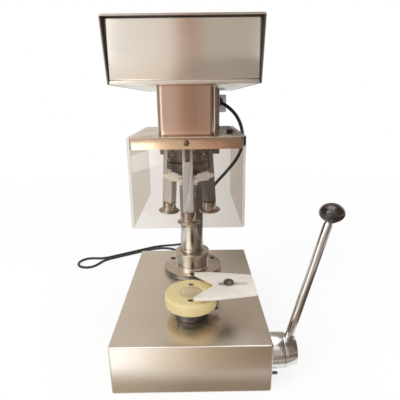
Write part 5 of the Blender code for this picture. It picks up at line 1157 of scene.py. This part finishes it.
motor_low, motor_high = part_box("motor")
bell_place = motor_axis @ Matrix.Translation((0, 0, motor_low[2]))
motor_flange_base = motor_high[2] - MOTOR_FLANGE_HEIGHT
body = prism(toothed(MOTOR_FINS, FIN_SHAPE), motor_low[2] + BELL_HEIGHT, motor_flange_base, motor_axis, 0)
bell = turned(BELL_PROFILE, bell_place, BELL_EDGE)
flange = tube(MOTOR_SHAFT_HOLE, MOTOR_RADIUS, motor_flange_base, motor_high[2], motor_axis, MOTOR_FLANGE_EDGE)
rods = []
for angle in TIE_ROD_ANGLES:
    spot = bell_place @ Matrix.Translation((*on_circle(TIE_ROD_CIRCLE, angle), 0))
    rods.append(plain_bar(TIE_ROD_RADIUS, *TIE_ROD_ENDS, spot, SMALL_EDGE, TIE_ROD_STEPS))
motor_paint = mottled("motor_paint", ((0.20, 0.205, 0.21), 0.42), (45, 5), ((0.17, 0.175, 0.18), (0.25, 0.255, 0.26)),
                      (120, 4), (0.34, 0.54), ((900, 2), 0.12, 0.0002))
make_piece("finned_motor", joined(body, bell, flange, *rods), motor_paint, "frame", "grey_paint", "motor")

# Switch box: a light grey plastic box on the motor's side, with moulded ledges, a lid line and a black rocker
# switch in a pocket. The strain relief of the mains lead sits in its front.
BOX_EDGE = 0.0016
LEDGES = (0.3672, 0.3725, 0.3835, 0.3888)
LEDGE_HALF = 0.0005
LEDGE_DEPTH = 0.0008
ROCKER_PLACE = (0.0665, 0.150, 0.378)
ROCKER_SIDE_VIEW = ((-0.002, -0.0063), (0.0034, -0.0063), (0.0016, 0.0), (0.0034, 0.0063), (-0.002, 0.0063))
ROCKER_HALF_WIDTH = 0.0045
ROCKER_EDGE = 0.0005
ROCKER_TILT = radians(-8)
POCKET_HALF = 0.0071
POCKET_DEPTH = 0.0034
POCKET_OUT = 0.005

switch_low, switch_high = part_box("switch_box")
switch_box = box_shape(switch_low, switch_high)
round_edges(switch_box, BOX_EDGE, 4)
pocket, pocket_half = Vector(ROCKER_PLACE), ROCKER_HALF_WIDTH + CLEAR
cuts = [box_shape(pocket - Vector((POCKET_DEPTH, pocket_half, POCKET_HALF)),
                  pocket + Vector((POCKET_OUT, pocket_half, POCKET_HALF)))]
for height in LEDGES:
    for near_x, far_y in ((switch_high[0] - LEDGE_DEPTH, switch_high[1] + OVERCUT),
                          (switch_low[0] - OVERCUT, switch_low[1] + LEDGE_DEPTH)):
        cuts.append(box_shape((near_x, switch_low[1] - OVERCUT, height - LEDGE_HALF),
                              (switch_high[0] + OVERCUT, far_y, height + LEDGE_HALF)))
grey_plastic = moulded("grey_plastic", (0.52, 0.51, 0.49), (0.62, 0.61, 0.59), 0.46, 800)
make_piece("ledged_switch_box", cut_away(switch_box, *cuts), grey_plastic, "frame", "grey_plastic", "switch_box")
rocker_place = Matrix.Translation(ROCKER_PLACE) @ Matrix.Rotation(ROCKER_TILT, 4, "Y") @ XZ_PLANE
rocker = prism(ROCKER_SIDE_VIEW, -ROCKER_HALF_WIDTH, ROCKER_HALF_WIDTH, rocker_place, ROCKER_EDGE, 3)
make_piece("switch_rocker", rocker, plug_plastic, "switch", "black_plastic", "rocker")

# Capping head: a machined hub on the spindle with three forked ears, a pin through each and a blackened stop ring
# above them. A cone on a cross pin slides on the hub and spreads the arm tops, and a press rod with a pad runs
# down its middle.
PIVOT_Z = 0.286
PIVOT_CIRCLE = 0.030
ARM_ANGLES = (-90, 30, 150)
HUB_RADIUS = 0.010
HUB_BOSS_RADIUS = 0.016
HUB_SOCKET_RADIUS = 0.0063
HUB_SOCKET_DEPTH = 0.008
EAR_HEIGHT = 0.0125
EAR_INNER = 0.007
EAR_OUTER = 0.012
EAR_ROOT = 0.008
EAR_REACH = 0.0335
EAR_NOSE = 0.0035
EAR_NOSE_STEPS = 12
EAR_FULL = 0.0255
EAR_EDGE = 0.0007
STOP_RADIUS = 0.0200
STOP_RIM_RADIUS = 0.0262
STOP_RIM_BASE = 0.2975
STOP_TOP = 0.3070
STOP_EDGE = 0.0006
PIVOT_PIN_RADIUS = 0.0025
PRESS_ROD_RADIUS = 0.004
CROSS_PIN_RADIUS = 0.002
CROSS_PIN_HALF = 0.014
PAD_RADIUS = 0.009
PAD_HEIGHT = 0.006
PAD_CHAMFER = 0.001
CONE_TOP_RADIUS = 0.0131
CONE_TRAVEL = 0.010

ear_base, ear_top = PIVOT_Z - EAR_HEIGHT / 2, PIVOT_Z + EAR_HEIGHT / 2
head_low, head_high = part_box("head_hub")
cone_low, cone_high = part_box("press_cone")
cone_middle = (cone_low[2] + cone_high[2]) / 2
hub_bore, socket_floor = PRESS_ROD_RADIUS + CLEAR, head_high[2] - HUB_SOCKET_DEPTH
head_hub = turned([(hub_bore, head_low[2]), (HUB_RADIUS, head_low[2]), (HUB_RADIUS, ear_base),
                   (HUB_BOSS_RADIUS, ear_base), (HUB_BOSS_RADIUS, ear_top), (HUB_RADIUS, ear_top),
                   (HUB_RADIUS, head_high[2]), (HUB_SOCKET_RADIUS, head_high[2]), (HUB_SOCKET_RADIUS, socket_floor),
                   (hub_bore, socket_floor)], capping_axis, SMALL_EDGE)
pin_slot = CROSS_PIN_RADIUS + CLEAR
head_hub = cut_away(head_hub, box_shape((-CUTTER_REACH, CAPPING_Y - pin_slot, cone_middle - pin_slot),
                                        (CUTTER_REACH, CAPPING_Y + pin_slot, cone_middle + CONE_TRAVEL + pin_slot)))
ear_nose = corner_arc((EAR_REACH - EAR_NOSE, PIVOT_Z), EAR_NOSE, -90, 90, EAR_NOSE_STEPS)
ear_outline = [(EAR_ROOT, ear_top), (EAR_ROOT, ear_base), (EAR_FULL, ear_base), (EAR_FULL, PIVOT_Z - EAR_NOSE),
               *ear_nose, (EAR_FULL, PIVOT_Z + EAR_NOSE), (EAR_FULL, ear_top)]
ears = []
for angle in ARM_ANGLES:
    facing = capping_axis @ Matrix.Rotation(radians(angle), 4, "Z")
    for near, far in ((EAR_INNER, EAR_OUTER), (-EAR_OUTER, -EAR_INNER)):
        ears.append(prism(ear_outline, near, far, facing @ XZ_PLANE, EAR_EDGE, 3))
    pin_place = facing @ Matrix.Translation((PIVOT_CIRCLE, 0, PIVOT_Z)) @ TOWARDS_FRONT
    ears.append(plain_bar(PIVOT_PIN_RADIUS, -EAR_OUTER - CLEAR, EAR_OUTER + CLEAR, pin_place, FINE_EDGE, PIN_STEPS))

stop_ring = turned([(HUB_RADIUS - CLEAR, ear_top + CLEAR), (STOP_RADIUS, ear_top + CLEAR),
                    (STOP_RADIUS, STOP_RIM_BASE), (STOP_RIM_RADIUS, STOP_RIM_BASE), (STOP_RIM_RADIUS, STOP_TOP),
                    (HUB_RADIUS - CLEAR, STOP_TOP)], capping_axis, STOP_EDGE)
for face in stop_ring.faces:
    face.material_index = 1


def machined(name, colour, tint, roughness, metallic):
    """Milled steel: faint cutter lines and soft oil stains."""
    made, tree, shader = new_material(name, colour, roughness, metallic)
    stains, lines = speckle(tree, 22, 2), speckle(tree, 1, 2, (2600, 2600, 90))
    feed(tree, shader, Base_Color=blend_colours(tree, stains, colour, tint),
         Roughness=added(tree, spread_value(tree, stains, roughness - 0.03, roughness + 0.05),
                         spread_value(tree, lines, -0.02, 0.02)))
    roughen(tree, shader, lines, 0.015)
    return made


hub_steel = machined("hub_steel", (1.0, 0.97, 0.91), (0.95, 0.91, 0.84), 0.28, 0.12)
make_piece("forked_hub", joined(head_hub, stop_ring, *ears), hub_steel, "head", "grey_steel", "head_hub",
           marked=screw_steel)

cone_bore, cone_base_radius = HUB_RADIUS + CLEAR, (cone_high[0] - cone_low[0]) / 2
cone = turned([(cone_bore, cone_low[2]), (cone_base_radius, cone_low[2]), (CONE_TOP_RADIUS, cone_high[2]),
               (cone_bore, cone_high[2])], capping_axis, SMALL_EDGE)
cone_pin_axis = Matrix.Translation((0, CAPPING_Y, cone_middle)) @ ALONG_X
cone = cut_away(cone, plain_bar(pin_slot, -CROSS_PIN_HALF - CLEAR, CROSS_PIN_HALF + CLEAR, cone_pin_axis, 0, PIN_STEPS))
cone_chrome = chromed("cone_chrome", (0.30, 0.26, 0.235), 0.18, (300, 300, 6))
make_piece("spreading_cone", cone, cone_chrome, "plunger", "polished_steel", "press_cone")
rod_low, rod_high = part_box("press_rod")
pad_top = rod_low[2] + PAD_HEIGHT
press_rod = turned([(0, rod_low[2]), (PAD_RADIUS - PAD_CHAMFER, rod_low[2]), (PAD_RADIUS, rod_low[2] + PAD_CHAMFER),
                    (PAD_RADIUS, pad_top), (PRESS_ROD_RADIUS, pad_top), (PRESS_ROD_RADIUS, rod_high[2]),
                    (0, rod_high[2])], capping_axis, SMALL_EDGE, ROD_STEPS)
cross_pin = plain_bar(CROSS_PIN_RADIUS, -CROSS_PIN_HALF, CROSS_PIN_HALF, cone_pin_axis, FINE_EDGE, PIN_STEPS)
make_piece("press_rod_and_pin", joined(press_rod, cross_pin), lift_chrome, "plunger", "polished_steel", "press_rod")

# Roller arms: three bars of milled steel, each hung on its ear's pin with a forked top that holds a small follower
# wheel, a punched centre mark, and at the foot an axle for a turned roller with a thin flange. Each arm's colour is
# painted light and shade: the front arm pale and cool, the right arm dark, the left arm pale.
ARM_TILT = radians(4)
ARM_BELOW = 0.0395
ARM_ABOVE = 0.044
ARM_SIDE_VIEW = ((-0.0075, -ARM_BELOW), (0.0075, -ARM_BELOW), (0.0075, ARM_ABOVE), (0.001, ARM_ABOVE),
                 (0.001, 0.009), (-0.0075, 0.009))
ARM_HALF_WIDTH = 0.0065
ARM_EDGE = 0.0006
FORK_HALF = 0.003
FORK_DEPTH = 0.019
FORK_OVERCUT = 0.01
FOLLOWER_X = 0.00425
FOLLOWER_Z = 0.034
FOLLOWER_RADIUS = 0.0085
FOLLOWER_PIN_RADIUS = 0.002
AXLE_RADIUS = 0.004
AXLE_LENGTH = 0.010
MARK_HEIGHT = -0.016
MARK_PROFILE = ((0, 0.0065), (0.0016, 0.0077), (0, 0.0077))
MARK_STEPS = 24
ROLLER_HUB_RADIUS = 0.0095
ROLLER_HUB_HEIGHT = 0.0115
ROLLER_HUB_FILLET = 0.0006
ROLLER_RADIUS = 0.015
ROLLER_DISC = 0.0032
ROLLER_EDGE = 0.0012
ROLLER_GROOVE = ((0, 0), (0.004, 0), (0.0046, 0.0005), (0.0060, 0.0005), (0.0066, 0))
# Colours by arm, as painted light and shade: front arm pale and cool, right arm dark, left arm pale.
ARM_PAINTED_LIGHT_TONES = (((0.74, 0.80, 0.85), (0.68, 0.73, 0.78)), ((0.26, 0.245, 0.245), (0.22, 0.205, 0.205)),
             ((0.74, 0.72, 0.68), (0.68, 0.66, 0.62)))

pin_end, wheel = ARM_HALF_WIDTH - CLEAR, FORK_HALF - CLEAR
follower_profile = [(0, -pin_end), (FOLLOWER_PIN_RADIUS, -pin_end), (FOLLOWER_PIN_RADIUS, -wheel),
                    (FOLLOWER_RADIUS, -wheel), (FOLLOWER_RADIUS, wheel), (FOLLOWER_PIN_RADIUS, wheel),
                    (FOLLOWER_PIN_RADIUS, pin_end), (0, pin_end)]
follower_place = Matrix.Translation((FOLLOWER_X, 0, FOLLOWER_Z)) @ TOWARDS_FRONT
mark_place = Matrix.Translation((0, 0, MARK_HEIGHT)) @ ALONG_X
disc_top = -CLEAR - ROLLER_HUB_HEIGHT
disc_base = disc_top - ROLLER_DISC
bore, bore_end = AXLE_RADIUS + CLEAR, -AXLE_LENGTH - CLEAR
roller_profile = [(radius, disc_base + up) for radius, up in ROLLER_GROOVE]
roller_profile += [(ROLLER_RADIUS - ROLLER_EDGE, disc_base), (ROLLER_RADIUS, disc_base + ROLLER_EDGE),
                   (ROLLER_RADIUS, disc_top - ROLLER_EDGE), (ROLLER_RADIUS - ROLLER_EDGE, disc_top),
                   (ROLLER_HUB_RADIUS + ROLLER_HUB_FILLET, disc_top),
                   (ROLLER_HUB_RADIUS, disc_top + ROLLER_HUB_FILLET), (ROLLER_HUB_RADIUS, -CLEAR), (bore, -CLEAR),
                   (bore, bore_end), (0, bore_end)]
roller_steel = mottled("roller_steel", ((0.60, 0.54, 0.49), 0.18, 1.0), (120, 4),
                       ((0.62, 0.56, 0.51), (0.50, 0.44, 0.38)), (250, 3), (0.10, 0.22))
for number, (angle, (tone, tint)) in enumerate(zip(ARM_ANGLES, ARM_PAINTED_LIGHT_TONES), start=1):
    arm_place = (capping_axis @ Matrix.Rotation(radians(angle), 4, "Z")
                 @ Matrix.Translation((PIVOT_CIRCLE, 0, PIVOT_Z)) @ Matrix.Rotation(-ARM_TILT, 4, "Y"))
    bar = prism(ARM_SIDE_VIEW, -ARM_HALF_WIDTH, ARM_HALF_WIDTH, XZ_PLANE, ARM_EDGE, 3)
    bar = cut_away(bar, box_shape((-CUTTER_REACH, -FORK_HALF, ARM_ABOVE - FORK_DEPTH),
                                  (CUTTER_REACH, FORK_HALF, ARM_ABOVE + FORK_OVERCUT)),
                   plain_bar(PIVOT_PIN_RADIUS + CLEAR, -CUTTER_REACH, CUTTER_REACH, TOWARDS_FRONT, 0, PIN_STEPS),
                   turned(MARK_PROFILE, mark_place, 0, MARK_STEPS))
    follower = turned(follower_profile, follower_place, FINE_EDGE, BAR_STEPS)
    for face in follower.faces:
        face.material_index = 1
    axle = plain_bar(AXLE_RADIUS, -ARM_BELOW - AXLE_LENGTH, CLEAR - ARM_BELOW, edge=FINE_EDGE)
    make_piece(f"milled_arm_{number}", moved(joined(bar, follower, axle), arm_place),
               machined(f"arm_steel_{number}", tone, tint, 0.30, 0.5), f"arm_{number}", "grey_steel",
               f"roller_arm_{number}", marked=screw_steel)
    roller = turned(roller_profile, arm_place @ Matrix.Translation((0, 0, -ARM_BELOW)))
    make_piece(f"flanged_roller_{number}", roller, roller_steel, f"roller_{number}", "polished_steel",
               f"seaming_roller_{number}")
